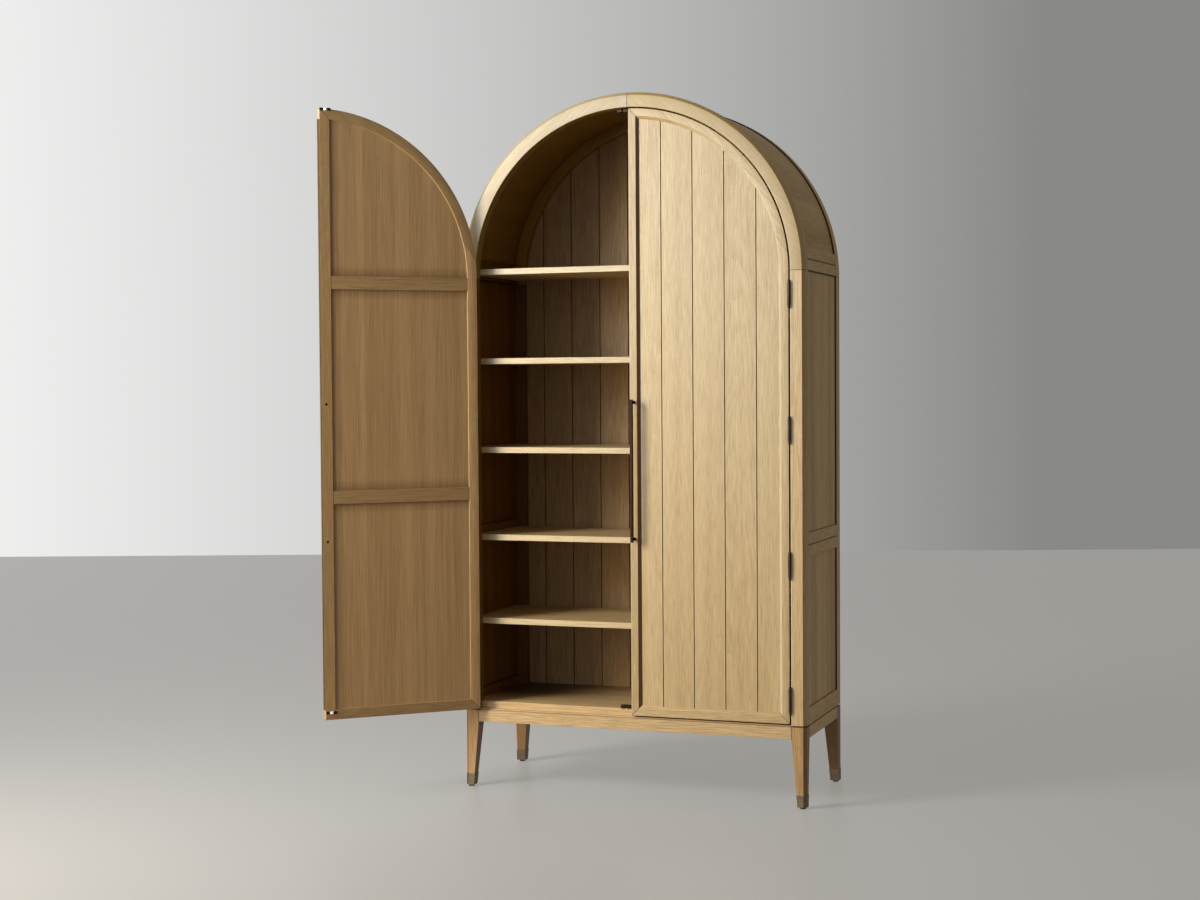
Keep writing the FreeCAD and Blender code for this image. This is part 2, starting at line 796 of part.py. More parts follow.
def scarf():
    outer_z = size("scarf_outer")
    inner_z = size("scarf_inner")
    outer = (rise(door_radius, outer_z), spring + outer_z)
    inner = (rise(door_inner, inner_z), spring + inner_z)
    return outer, inner


def make_arch_rail_of_door():
    body = new_body("right_arch_rail")
    section = frame_section(door_radius, door_inner)
    revolve(body, draw(body, "XY_Plane", [section]), "Y_Axis", as_size(90), backwards=True)
    reach = size("frame_width") + size("overrun")
    start, end = stretched(*top_mitre())
    cut_beyond(body, start, end, -reach, -reach, True)
    start, end = stretched(*scarf())
    cut_beyond(body, start, end, as_size(0), -(size("scarf_inner") + size("overrun")), True)
    place(body, z=spring)
    return keep("right_arch_rail", body)


def make_hinge_stile():
    body = new_body("right_hinge_stile")
    section = frame_section(door_radius, door_inner)
    pad(body, draw(body, "XY_Plane", [section], door_bottom - spring), spring - door_bottom)
    turn_angle = Size(
        "asin((%s + %s) / %s)" % (
            size("scarf_inner").formula, size("overrun").formula, door_inner.formula),
        math.degrees(math.asin(
            (size("scarf_inner").value + size("overrun").value) / door_inner.value)))
    revolve(body, draw(body, "XY_Plane", [section]), "Y_Axis", turn_angle, backwards=True)
    reach = size("frame_width") + size("overrun")
    start, end = stretched(*scarf())
    cut_beyond(body, start, end, as_size(0), size("scarf_inner"), True)
    start, end = stretched((door_radius, door_bottom), (door_inner, bottom_inner))
    cut_beyond(body, start, end, as_size(0), -reach, True)
    place(body, z=spring)
    return keep("right_hinge_stile", body)


def make_bottom_rail_of_door():
    body = new_body("right_bottom_rail")
    section = [(y, z) for z, y in frame_section(door_bottom, bottom_inner)]
    pad(body, draw(body, "YZ_Plane", [section], door_edge), door_radius - door_edge)
    reach = size("frame_width") + size("overrun")
    start, end = stretched((door_edge, door_bottom), (stile_inner, bottom_inner))
    cut_beyond(body, start, end, -reach, reach, False)
    start, end = stretched((door_radius, door_bottom), (door_inner, bottom_inner))
    cut_beyond(body, start, end, reach, reach, False)
    place(body)
    return keep("right_bottom_rail", body)


# Cross rails behind the planks
def cross_levels():
    lower = door_bottom + size("lower_cross_rail")
    upper = spring - size("cross_rail_height")
    return lower, upper


def make_cross_rails():
    y_in = size("front_recess") + size("plank_thick")
    rails = []
    for name, low in zip(("lower", "upper"), cross_levels()):
        body = new_body("right_cross_rail_" + name)
        outline = plan(stile_inner, door_inner, y_in, size("door_thick"))
        pad(body, draw(body, "XY_Plane", [outline], low), size("cross_rail_height"))
        rails.append(body)
    made = group("right_cross_rails", rails)
    place(made)
    return keep("right_cross_rails", made)


# Door fields reach into the frame's slot on every side
def field_edges():
    hidden = size("slot_depth") - size("loose_fit")
    return stile_inner - hidden, door_inner + hidden, bottom_inner - hidden


def make_plank_panel():
    left, radius, low = field_edges()
    face = size("front_recess")
    thick = size("plank_thick")
    body = new_body("right_plank_panel")
    lower = plan(left, radius, low - spring, as_size(0))
    pad(body, draw(body, "XZ_Plane", [lower], -face), thick, backwards=True)
    disc = draw_circles(body, "XZ_Plane", [(0, 0, radius)], -face)
    pad(body, disc, thick, backwards=True)
    waste = plan(-radius - size("overrun"), left, -radius - size("overrun"), radius + size("overrun"))
    pocket(body, draw(body, "XZ_Plane", [waste], -face), thick)
    middle = (stile_inner + door_inner) / 2
    vees = [vee_outline(middle + size("plank_pitch") * step, face) for step in (-1.5, -0.5, 0.5, 1.5)]
    base = low - spring - size("overrun")
    pocket(body, draw(body, "XY_Plane", vees, base), radius - base + size("overrun"), backwards=True)
    place(body, z=spring)
    return keep("right_plank_panel", body)


def make_veneer_panels():
    left, radius, low = field_edges()
    lower, upper = cross_levels()
    height = size("cross_rail_height")
    face = size("front_recess") + size("plank_thick")
    thick = size("veneer_thick")
    panels = []
    for name, bottom, top in (("lower", low, lower), ("middle", lower + height, upper)):
        body = new_body("right_veneer_" + name)
        pad(body, draw(body, "XY_Plane", [plan(left, radius, face, face + thick)], bottom), top - bottom)
        panels.append(body)
    body = new_body("right_veneer_upper")
    disc = draw_circles(body, "XZ_Plane", [(0, 0, radius)], -face)
    pad(body, disc, thick, backwards=True)
    far = radius + size("overrun")
    pocket(body, draw(body, "XZ_Plane", [plan(-far, left, -far, far)], -face), thick)
    pocket(body, draw(body, "XZ_Plane", [plan(-far, far, -far, as_size(0))], -face), thick)
    spot(body, as_size(0), as_size(0), spring)
    panels.append(body)
    made = group("right_veneer_panels", panels)
    place(made)
    return keep("right_veneer_panels", made)


def make_handle():
    side = size("bar_side")
    body = new_body("right_handle_bar")
    half = side / 2
    edge = size("bar_edge")
    x_low = handle_x - half
    x_high = handle_x + half
    y_high = bar_front + side
    outline = [
        (x_low + edge, bar_front), (x_high - edge, bar_front), (x_high, bar_front + edge),
        (x_high, y_high - edge), (x_high - edge, y_high), (x_low + edge, y_high),
        (x_low, y_high - edge), (x_low, bar_front + edge)]
    lower, upper = handle_levels()
    overhang = size("handle_overhang")
    pad(body, draw(body, "XY_Plane", [outline], lower - overhang), upper - lower + overhang * 2)
    place(body)
    bar = keep("right_handle_bar", body)
    posts = []
    bolts = []
    for name, level in (("lower", lower), ("upper", upper)):
        posts.append(make_standoff("right_standoff_" + name, level))
        bolts.append(make_bolt("right_bolt_" + name, level))
    made = [bar]
    for label, members in (("right_handle_standoffs", posts), ("right_handle_bolts", bolts)):
        gathered = group(label, members)
        place(gathered)
        made.append(keep(label, gathered))
    return made


def make_standoff(name, level):
    length = size("standoff_length")
    rod = cylinder(name + "_rod", size("standoff_radius"), length, handle_x, -length, level, "y")
    deep = size("standoff_bore_depth")
    bore = cylinder(
        name + "_bore", size("bolt_radius") + size("running_fit"), deep, handle_x, -deep, level, "y")
    return cut(name, rod, bore)


def make_bolt(name, level):
    seat = size("door_thick") - size("counterbore_depth")
    grip = size("bolt_grip")
    shank = cylinder(name + "_shank", size("bolt_radius"), seat + grip, handle_x, -grip, level, "y")
    head = cylinder(
        name + "_head", size("bolt_head_radius"), size("bolt_head_height"), handle_x, seat, level, "y")
    return fuse(name, [shank, head])


# Strikes: a plate on the door's back with a tongue that enters the catch
def make_strikes():
    back = size("door_thick")
    x = size("catch_offset")
    half = size("strike_length") / 2
    plates = []
    for row, low in catch_levels():
        middle = low + size("catch_height") / 2
        top = size("strike_height") / 2
        start = x - half
        if start.value < door_edge.value:
            raise ValueError("the strike plate passes the door's edge")
        plate = box(
            "strike_plate_" + row, (start, back, middle - top),
            (x + half, back + size("strike_thick"), middle + top))
        thin = size("tongue_thick") / 2
        high = size("tongue_height") / 2
        tongue = box(
            "strike_tongue_" + row, (x - thin, back, middle - high),
            (x + thin, back + size("tongue_length"), middle + high))
        plates.append(fuse("strike_" + row, [plate, tongue]))
    made = group("right_strikes", plates)
    place(made)
    return keep("right_strikes", made)


# Hinge heights: evenly spaced along the door's straight edge
def hinge_levels():
    count = 4
    first = door_bottom + size("hinge_end")
    pitch = (spring - size("hinge_end") - first) / (count - 1)
    return [first + pitch * step for step in range(count)]


# One hinge leaf: a plate on the wood and its share of the five knuckles round the pin
def make_leaf(name, x_low, level, knuckles):
    thick = size("leaf_thick")
    half = size("leaf_height") / 2
    near = hinge_y + size("barrel_radius") + size("leaf_gap")
    low = level - half
    plate = box(
        name + "_plate", (x_low, near, low), (x_low + thick, near + size("leaf_depth"), level + half))
    pieces = [plate]
    share = size("leaf_height") / 5
    slack = size("knuckle_gap") / 2
    for index in knuckles:
        start = low + share * index + slack
        length = share - slack * 2
        tag = "%s_%d" % (name, index)
        pieces.append(cylinder(tag + "_knuckle", size("barrel_radius"), length, hinge_x, hinge_y, start))
        pieces.append(box(
            tag + "_web", (x_low, hinge_y, start),
            (x_low + thick, near + size("leaf_gap"), start + length)))
    solid = fuse(name + "_solid", pieces)
    bore = cylinder(
        name + "_bore", size("pin_core") + size("running_fit"), size("leaf_height") + size("overrun"),
        hinge_x, hinge_y, low - size("overrun") / 2)
    return cut(name, solid, bore)


# Pin with a tapered finial at each end, turned about its own axis
def make_hinge_pin(name, level):
    half = size("leaf_height") / 2
    tip = half + size("finial_height")
    core = size("pin_core")
    wide = size("finial_radius")
    narrow = size("finial_tip")
    body = new_body(name)
    outline = [
        (0, -tip), (narrow, -tip), (wide, -half), (core, -half), (core, half), (wide, half),
        (narrow, tip), (0, tip)]
    revolve(body, draw(body, "XZ_Plane", [outline]), "Z_Axis", as_size(360))
    return spot(body, hinge_x, hinge_y, level)


def make_hinges():
    frame_leaves = []
    door_leaves = []
    pins = []
    for index, level in enumerate(hinge_levels()):
        post_side = inner_radius - size("leaf_thick")
        frame_leaves.append(make_leaf("frame_leaf_%d" % index, post_side, level, (0, 2, 4)))
        door_leaves.append(make_leaf("door_leaf_%d" % index, door_radius, level, (1, 3)))
        pins.append(make_hinge_pin("hinge_pin_%d" % index, level))
    right = group("frame_leaves_right", frame_leaves)
    place(right)
    keep("frame_hinge_leaves", group(
        "frame_hinge_leaves", [right, mirrored("frame_leaves_left", right)]))
    right = group("hinge_pins_right", pins)
    place(right)
    keep("hinge_pins", group("hinge_pins", [right, mirrored("hinge_pins_left", right)]))
    made = group("right_hinge_leaves", door_leaves)
    place(made)
    return keep("right_hinge_leaves", made)


# Strip on the left door's meeting stile that covers the gap between the doors, drawn on the right door's side
def make_lip():
    body = new_body("lip")
    back = size("door_thick")
    front = back - size("lip_thick")
    ease = size("edge_ease")
    near = door_edge - size("lip_width")
    section = [
        (near, front + ease), (near + ease, front), (door_edge, front), (door_edge, back), (near, back)]
    pad(body, draw(body, "XY_Plane", [section], bottom_inner), corner_height - bottom_inner)
    place(body)
    return body


# The left door is the right one mirrored, then swung open about its own hinge line
def make_left_door(pieces):
    lip = make_lip()
    pivot_x = -hinge_x - origin_x
    pivot_y = hinge_y - origin_y
    for piece in pieces:
        label = piece.Label.replace("right_", "left_", 1)
        closed = [mirrored(label + "_closed", piece)]
        if label == "left_meeting_stile":
            closed.append(mirrored("lip_closed", lip))
        opened = group(label, closed)
        opened.Placement = FreeCAD.Placement(
            FreeCAD.Vector(0, 0, 0), FreeCAD.Rotation(FreeCAD.Vector(0, 0, -1), swing.value))
        bind(opened, "Placement.Rotation.Angle", swing)
        turned_x = pivot_x * cosine(swing) + pivot_y * sine(swing)
        turned_y = pivot_y * cosine(swing) - pivot_x * sine(swing)
        bind(opened, "Placement.Base.x", pivot_x - turned_x)
        bind(opened, "Placement.Base.y", pivot_y - turned_y)
        keep(label, opened)


def make_doors():
    pieces = [
        make_meeting_stile(), make_arch_rail_of_door(), make_hinge_stile(),
        make_bottom_rail_of_door(), make_cross_rails(), make_plank_panel(), make_veneer_panels()]
    pieces += make_handle()
    pieces += [make_strikes(), make_hinges()]
    make_left_door(pieces)


def check():
    faults = []
    for thing in doc.Objects:
        if "Invalid" in thing.State or "Error" in thing.State:
            faults.append("%s: %s" % (thing.Name, thing.State))
    for label, thing in nodes.items():
        shape = thing.Shape
        if shape.isNull() or not shape.isValid() or not shape.Solids or shape.Volume <= 0:
            faults.append(label + ": bad shape")
    for feature in cuts:
        before = feature.BaseFeature.Shape.Volume
        if not feature.Shape.Volume < before:
            faults.append(feature.Name + ": cuts nothing")
    if faults:
        raise RuntimeError("; ".join(faults))


def write():
    os.makedirs("parts", exist_ok=True)
    for label, thing in nodes.items():
        thing.Shape.exportStep("parts/%s.step" % label)


make_base()
make_frames()
make_sides()
make_roof()
make_floor()
make_shelves()
make_shelf_pins()
make_back()
make_catches()
make_doors()
doc.recompute()
check()
write()
everything = Part.makeCompound([thing.Shape for thing in nodes.values()])
bounds = everything.BoundBox
print("nodes", len(nodes), "solids", len(everything.Solids))
print("box x %.2f..%.2f y %.2f..%.2f z %.2f..%.2f" % (
    bounds.XMin, bounds.XMax, bounds.YMin, bounds.YMax, bounds.ZMin, bounds.ZMax))
print("origin of the cabinet's front centre", -origin_x.value, -origin_y.value)
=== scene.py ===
import json
import math

import bmesh
import bpy
import numpy as np
from mathutils import Matrix, Vector


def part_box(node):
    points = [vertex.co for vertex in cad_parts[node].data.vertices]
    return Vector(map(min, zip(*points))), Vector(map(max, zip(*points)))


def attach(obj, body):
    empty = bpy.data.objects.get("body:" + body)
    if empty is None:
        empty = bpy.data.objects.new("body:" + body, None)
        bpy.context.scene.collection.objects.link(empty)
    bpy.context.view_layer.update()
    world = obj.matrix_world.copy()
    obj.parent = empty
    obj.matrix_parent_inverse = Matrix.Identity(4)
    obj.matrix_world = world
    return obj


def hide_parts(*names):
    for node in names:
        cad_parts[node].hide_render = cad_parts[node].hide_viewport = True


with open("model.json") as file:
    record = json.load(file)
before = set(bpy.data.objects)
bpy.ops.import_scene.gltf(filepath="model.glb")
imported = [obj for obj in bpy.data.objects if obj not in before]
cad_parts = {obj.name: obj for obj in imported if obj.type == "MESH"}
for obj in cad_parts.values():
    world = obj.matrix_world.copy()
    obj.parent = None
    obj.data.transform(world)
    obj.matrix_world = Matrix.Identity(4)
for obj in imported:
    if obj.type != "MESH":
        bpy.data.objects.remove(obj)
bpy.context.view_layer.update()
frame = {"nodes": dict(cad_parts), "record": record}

# Light oak cabinet with a round top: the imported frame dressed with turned, bent and brushed pieces.
# Lengths are metres. "Carcass places" count from the middle of the cabinet's front face, on the floor.
print("frame loaded:", len(frame["nodes"]), "nodes")

# Where the cabinet stands in the frame
postLow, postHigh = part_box("post_front_right")
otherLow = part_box("post_front_left")[0]
hinges = {joint["name"]: joint for joint in frame["record"]["behaviour"]["joints"]}
swing = math.radians(-hinges["left_door_hinge"]["range_deg"][0])  # how far the left door stands open
pivot = Vector(hinges["left_door_hinge"]["pos_m"])
origin = Vector(((otherLow.x + postHigh.x) / 2, postLow.y, 0))
spring = postHigh.z  # the height where the arches start
cabinet = {
    "inner": 0.565, "frameDeep": 0.045, "rearFrame": 0.45, "shelfFront": 0.0465, "apronFront": 0.048,
    "apronRear": 0.452, "apronTop": 0.2725, "railsMeet": 0.876, "panelEdges": (0.333, 0.916, 1.785),
    "lowPanelTop": 0.836,
}
door = {
    "edge": 0.0045, "stileInner": 0.0395, "reach": 0.56, "inner": 0.525, "low": 0.282, "lowInner": 0.317,
    "thick": 0.022, "bevelWide": 0.0095, "bevelDeep": 0.0085, "recess": 0.009, "slotDeep": 0.008, "slotBack": 0.018,
    "ease": 0.0012, "scarfOuter": 0.059, "scarfInner": 0.131, "crossRails": (1.0365, 1.7625), "endEase": 0.0003,
    "railSteps": 64, "railShare": 0.0006, "stileSteps": 18, "stileShare": 0.003, "stripEdge": 0.0015,
}


# A value in a node tree: sums of wires and numbers lay the math nodes for them
class wire:
    def __init__(self, socket):
        self.socket = socket
        self.tree = socket.id_data

    __add__ = lambda self, other: sums("ADD", self, other)
    __radd__ = lambda self, other: sums("ADD", other, self)
    __sub__ = lambda self, other: sums("SUBTRACT", self, other)
    __rsub__ = lambda self, other: sums("SUBTRACT", other, self)
    __mul__ = lambda self, other: sums("MULTIPLY", self, other)
    __truediv__ = lambda self, other: sums("DIVIDE", self, other)
    __abs__ = lambda self: sums("ABSOLUTE", self)


def wires(node):  # what a node puts out, by name
    return {socket.name: wire(socket) for socket in node.outputs}


def treeOf(*values):
    return next(value.tree for value in values if isinstance(value, wire))


def newNode(tree, kind, **settings):
    node = tree.nodes.new("ShaderNode" + kind)
    for label, value in settings.items():
        setattr(node, label, value)
    return node


def feed(socket, value):  # a link or a plain value into a socket
    if isinstance(value, wire):
        value.tree.links.new(value.socket, socket)
    else:
        socket.default_value = (*value, 1) if socket.type == "RGBA" else value


def fill(node, *values):  # a node's inputs in their order
    for socket, value in zip(node.inputs, values):
        feed(socket, value)
    return wire(node.outputs[0])


def feedAll(node, values):  # inputs by name
    for label, value in values.items():
        feed(node.inputs[label], value)
    return wires(node)


def newGroup(name, inputs, outputs):  # sockets are floats, unless a kind stands behind the colon
    group = bpy.data.node_groups.new(name, "ShaderNodeTree")
    for direction, sockets in (("INPUT", inputs), ("OUTPUT", outputs)):
        for socket in sockets.split():
            label, kind = (socket + ":Float").split(":")[:2]
            group.interface.new_socket(label, in_out=direction, socket_type="NodeSocket" + kind)
    return group, wires(group.nodes.new("NodeGroupInput")), group.nodes.new("NodeGroupOutput").inputs


def sums(operation, first, second=0.0, clamp=False):
    return fill(newNode(treeOf(first, second), "Math", operation=operation, use_clamp=clamp), first, second)


def larger(first, second):
    return sums("MAXIMUM", first, second)


def vectors(operation, first, second=(0, 0, 0)):
    node = newNode(first.tree, "VectorMath", operation=operation)
    fill(node, first, second)
    return wire(node.outputs["Value" if operation in ("LENGTH", "DOT_PRODUCT") else "Vector"])


def noise(vector, perMetre, detail=2.0, rough=0.5):
    node = newNode(vector.tree, "TexNoise")
    scaled = vectors("MULTIPLY", vector, perMetre)
    return feedAll(node, {"Vector": scaled, "Scale": 1.0, "Detail": detail, "Roughness": rough})


def remap(value, low, high, toLow=0.0, toHigh=1.0):
    return fill(newNode(value.tree, "MapRange"), value, low, high, toLow, toHigh)


def blendColour(factor, first, second, kind="MIX"):
    node = newNode(treeOf(factor, first, second), "Mix", data_type="RGBA", blend_type=kind)
    feedAll(node, {"Factor": factor, "A": first, "B": second})
    return wire(node.outputs["Result"])


def join(x, y, z):
    return fill(newNode(treeOf(x, y, z), "CombineXYZ"), x, y, z)


def split(vector):
    node = newNode(vector.tree, "SeparateXYZ")
    feed(node.inputs[0], vector)
    return [wire(socket) for socket in node.outputs]


# Oak in board places: X across the face, Y into the wood, Z along the grain.
# Growth rings are cylinders round a pith that leans behind the face; most boards are cut so far from it
# that they show as straight fine lines, and a high Figure brings out the arches.
oakLook = {
    "ringGap": 0.0054,  # one year's growth
    "pithDepth": 0.14, "pithAside": 0.05, "lean": 0.03, "wanderAside": 0.05, "wanderDeep": 0.09, "wobble": 0.9,
    "seedShift": (1.31, 0.77, 2.93), "seedTurn": 12.9, "earlyPower": 1.8,
    "wanderPerMetre": (4.0, 4.0, 0.9), "wobblePerMetre": (60.0, 60.0, 5.0), "bandsPerMetre": (22.0, 22.0, 0.45),
    "streaksPerMetre": (780.0, 780.0, 12.0), "fibresPerMetre": (1050.0, 1050.0, 17.0),
    "poresPerMetre": (1500.0, 1500.0, 60.0), "fleckPerMetre": (120.0, 120.0, 42.0),
    "noiseSpan": (0.3, 0.7), "bandSpan": (0.35, 0.65), "markSpan": (0.58, 0.72), "fleckSpan": (0.64, 0.72),
    "middle": 0.46, "ringShare": 0.3, "ringMean": 0.36, "streakShare": 0.44, "fibreShare": 0.42, "bandShare": 0.13,
    "wanderShare": 0.5, "poreDark": 0.42, "dashDark": 0.16, "fleckPale": 0.14, "deep": (0.64, 0.5, 0.36),
    "roughness": (0.4, 0.5), "poreRough": 0.12, "fibreHeight": 0.35, "earlyHeight": -0.25,
    "earlyPores": (0.1, 0.6, 0.4, 1.0), "veneerStretch": (1.5, 1.5, 0.35),
}


def makeOakGroup():
    group, given, made = newGroup(
        "oakGrain", "Board:Vector Seed Tone Figure Streaks Bands Pale:Color Dark:Color",
        "Colour:Color Roughness Height")
    own, look = given["Seed"], oakLook
    moved = vectors("ADD", given["Board"], vectors("MULTIPLY", join(own, own, own), look["seedShift"]))

    def pattern(scale, detail=2.0, rough=0.5):
        return noise(moved, look[scale], detail, rough)

    def swayed(value, span, amount):  # from less to more of an amount
        return remap(value, *look[span], -look[amount], look[amount])

    # slow wander of the rings, and broad bands of tone along the board
    slow = split(vectors("SUBTRACT", pattern("wanderPerMetre")["Color"], (0.5, 0.5, 0.5)))
    band = pattern("bandsPerMetre", 1.0)["Fac"]
    x, y, z = split(given["Board"])
    turn = sums("SINE", own * look["seedTurn"])
    across = x + turn * look["pithAside"] + slow[0] * look["wanderAside"]
    depth = y + look["pithDepth"] + z * (turn * look["lean"]) + slow[1] * look["wanderDeep"]
    radius = vectors("LENGTH", join(across, depth, 0.0))
    year = radius / look["ringGap"] + pattern("wobblePerMetre")["Fac"] * look["wobble"]
    early = sums("POWER", 1.0 - sums("FRACT", year), look["earlyPower"])  # porous start of a year
    # streaks, fibres, pores and ray flecks
    streak = pattern("streaksPerMetre", 2.0, 0.55)["Fac"]
    fibre = pattern("fibresPerMetre")["Fac"]
    pore = pattern("poresPerMetre", 1.0)["Fac"]
    poreMask = remap(pore, *look["markSpan"]) * remap(early, *look["earlyPores"])
    dashMask = remap(streak, *look["markSpan"])
    fleckMask = remap(pattern("fleckPerMetre", 1.0, 0.4)["Fac"], *look["fleckSpan"])
    # how far each spot leans to the dark colour
    fine = swayed(streak, "noiseSpan", "streakShare") + swayed(fibre, "noiseSpan", "fibreShare")
    rings = (early - look["ringMean"]) * (given["Figure"] * look["ringShare"])
    broad = swayed(band, "bandSpan", "bandShare") * given["Bands"]
    lean = look["middle"] + rings + fine * given["Streaks"] + broad + slow[2] * look["wanderShare"]
    lean = sums("SUBTRACT", lean, given["Tone"], clamp=True)
    deep = blendColour(1.0, given["Dark"], look["deep"], "MULTIPLY")
    marks = poreMask * look["poreDark"] + dashMask * look["dashDark"]
    colour = blendColour(lean, given["Pale"], given["Dark"])
    colour = blendColour(sums("MULTIPLY", marks, given["Streaks"], clamp=True), colour, deep)
    feed(made["Colour"], blendColour(fleckMask * look["fleckPale"], colour, given["Pale"]))
    feed(made["Roughness"],
         remap(streak, *look["noiseSpan"], *look["roughness"]) + poreMask * look["poreRough"])
    feed(made["Height"], fibre * look["fibreHeight"] - poreMask + early * look["earlyHeight"])
    return group


# Planks side by side: each one gets its own place in the tree, tone and figure. Seam marks painted shade on the
# groove's unlit flank and bottom, where the finish also gathers, and Lit the soft edge left of it that catches the
# light, for a painted highlight.
planking = {
    "pitch": 0.1104, "doorStart": 0.00625, "spread": 0.1, "figure": 0.9, "tone": 0.02, "streaks": 0.85,
    "ownPlace": (0.09, 0.05, 7.0), "seamRight": (0.0013, 0.0009), "seamLeft": (0.0023, 0.0019),
    "litEdge": (0.005, 0.0045), "seamShare": 0.85, "backFigure": 0.6,
}


def makePlankGroup():
    group, given, made = newGroup(
        "plankStep", "Board:Vector Start Pitch Seed", "Board:Vector Tone Figure Seam Lit")
    x, y, z = split(given["Board"])
    count = (x - given["Start"]) / given["Pitch"]
    part = sums("FRACT", count)
    dice = feedAll(newNode(group, "TexWhiteNoise", noise_dimensions="1D"), {"W": sums("FLOOR", count) + given["Seed"]})
    thrown = split(dice["Color"])
    aside, inwards, along = planking["ownPlace"]
    local = (part - 0.5) * given["Pitch"]
    feed(made["Board"], join(local + (thrown[0] - 0.5) * aside, y + thrown[1] * inwards, z + thrown[2] * along))
    feed(made["Tone"], dice["Value"] - 0.5)
    feed(made["Figure"], thrown[1] * thrown[1])
    after = part * given["Pitch"]  # how far right of the last seam
    before = (1.0 - part) * given["Pitch"]
    feed(made["Seam"], larger(remap(after, *planking["seamRight"]), remap(before, *planking["seamLeft"])))
    feed(made["Lit"], remap(before, *planking["litEdge"]))
    return group


# Softened edges: a rounded normal, and a mask that is 1 on the edges, which the materials paint paler: edge wear and a
# painted highlight
edgeLook = {"samples": 4, "wearSpan": (0.995, 0.9), "oakWearAndHighlight": 0.25}


def makeEdgeGroup():
    group, given, made = newGroup("easedEdge", "Radius", "Normal:Vector Wear")
    bevel = feedAll(newNode(group, "Bevel", samples=edgeLook["samples"]), {"Radius": given["Radius"]})
    rounded, plain = bevel["Normal"], wires(newNode(group, "NewGeometry"))["Normal"]
    feed(made["Normal"], rounded)
    feed(made["Wear"], remap(vectors("DOT_PRODUCT", rounded, plain), *edgeLook["wearSpan"]))
    return group


# Brushed metal: long scratches along Z of the given places, and slow cloudy tarnish
brushLook = {
    "scratchesPerMetre": (2600.0, 2600.0, 40.0), "cloudsPerMetre": (70.0, 70.0, 45.0), "cloudSpan": (0.35, 0.7),
    "scratchSpan": (0.3, 0.7), "scratchRough": 0.07, "tarnishRough": 0.1,
}


def makeBrushedGroup():
    group, given, made = newGroup(
        "brushedMetal", "Place:Vector Colour:Color Tarnish:Color Rough", "Colour:Color Roughness Height")
    scratch = noise(given["Place"], brushLook["scratchesPerMetre"])["Fac"]
    cloud = noise(given["Place"], brushLook["cloudsPerMetre"], 3.0, 0.6)["Fac"]
    tarnish = remap(cloud, *brushLook["cloudSpan"])
    uneven = remap(scratch, *brushLook["scratchSpan"], -brushLook["scratchRough"], brushLook["scratchRough"])
    feed(made["Colour"], blendColour(tarnish, given["Colour"], given["Tarnish"]))
    feed(made["Roughness"], given["Rough"] + (uneven + tarnish * brushLook["tarnishRough"]))
    feed(made["Height"], scratch)
    return group


oakGroup = makeOakGroup()
plankGroup = makePlankGroup()
edgeGroup = makeEdgeGroup()
brushedGroup = makeBrushedGroup()
print("shader groups made:", len(bpy.data.node_groups))

# Rows of each matrix: the carcass directions that become board X, Y and Z
half = math.sqrt(0.5)
grainTurns = {
    "upright": ((1, 0, 0), (0, 1, 0), (0, 0, 1)),
    "uprightSide": ((0, 1, 0), (-1, 0, 0), (0, 0, 1)),
    "sideways": ((0, 0, -1), (0, 1, 0), (1, 0, 0)),
    "frontToBack": ((0, 0, 1), (1, 0, 0), (0, 1, 0)),
    "lyingSideways": ((0, 1, 0), (0, 0, 1), (1, 0, 0)),
    "archRight": ((half, 0, half), (0, 1, 0), (-half, 0, half)),
    "archLeft": ((half, 0, -half), (0, 1, 0), (half, 0, half)),
}


def boardPlaces(tree, grain, swung):
    # object places -> carcass places, with the open door turned shut -> board places
    shut = Matrix.Rotation(swing, 4, "Z") if swung else Matrix.Identity(4)
    home = Matrix.Translation(pivot) @ shut @ Matrix.Translation(-pivot)
    whole = Matrix(grainTurns[grain]).to_4x4() @ Matrix.Translation(-origin) @ home
    place = wires(newNode(tree, "TexCoord"))["Object"]
    return feedAll(newNode(tree, "Mapping"),
                   {"Location": whole.to_translation(), "Rotation": whole.to_euler("XYZ"), "Vector": place})["Vector"]


def newMaterial(name):
    material = bpy.data.materials.new(name)
    material.use_nodes = True
    tree = material.node_tree
    return material, tree, tree.nodes["Principled BSDF"]


def placeGroup(tree, group, **values):
    return feedAll(newNode(tree, "Group", node_tree=group), values)


reliefs = {  # radius of the softened edges, and strength and distance of the bumps
    "oak": {"edge": 0.0009, "bump": (0.3, 0.00025)}, "metal": {"edge": 0.0005, "bump": (0.2, 0.00008)},
    "moulded": {"bump": (0.25, 0.0001)},
}


def finishSkin(skin, colour, roughness, height, kind, eased=None):
    bump = newNode(height.tree, "Bump")
    strength, distance = reliefs[kind]["bump"]
    bumped = feedAll(bump, {"Strength": strength, "Distance": distance, "Height": height})["Normal"]
    if eased:
        feed(bump.inputs["Normal"], eased["Normal"])
    feedAll(skin, {"Base Color": colour, "Roughness": roughness, "Normal": bumped})


oakTones = {  # pale wood, dark wood
    "outside": ((0.64, 0.44, 0.195), (0.4, 0.24, 0.084)),
    "side": ((0.69, 0.525, 0.25), (0.405, 0.27, 0.105)),
    "front": ((0.66, 0.495, 0.245), (0.42, 0.28, 0.11)),
    "post": ((0.7, 0.5, 0.238), (0.45, 0.282, 0.102)),
    "archLeft": ((0.55, 0.435, 0.23), (0.37, 0.262, 0.118)),
    "archRight": ((0.535, 0.378, 0.132), (0.352, 0.225, 0.068)),
    "apron": ((0.7, 0.505, 0.255), (0.44, 0.285, 0.115)),
    "leg": ((0.61, 0.39, 0.152), (0.37, 0.208, 0.066)),
    "shelf": ((0.61, 0.44, 0.205), (0.4, 0.25, 0.094)),
    "back": ((0.51, 0.36, 0.205), (0.285, 0.187, 0.093)),
    "veneer": ((0.52, 0.335, 0.15), (0.335, 0.196, 0.075)),
}
specularLevels = {"back": 0.03, "side": 0.12}  # the others keep 0.5
lineCore = 0.7  # how much of a joint line's half width is fully dark
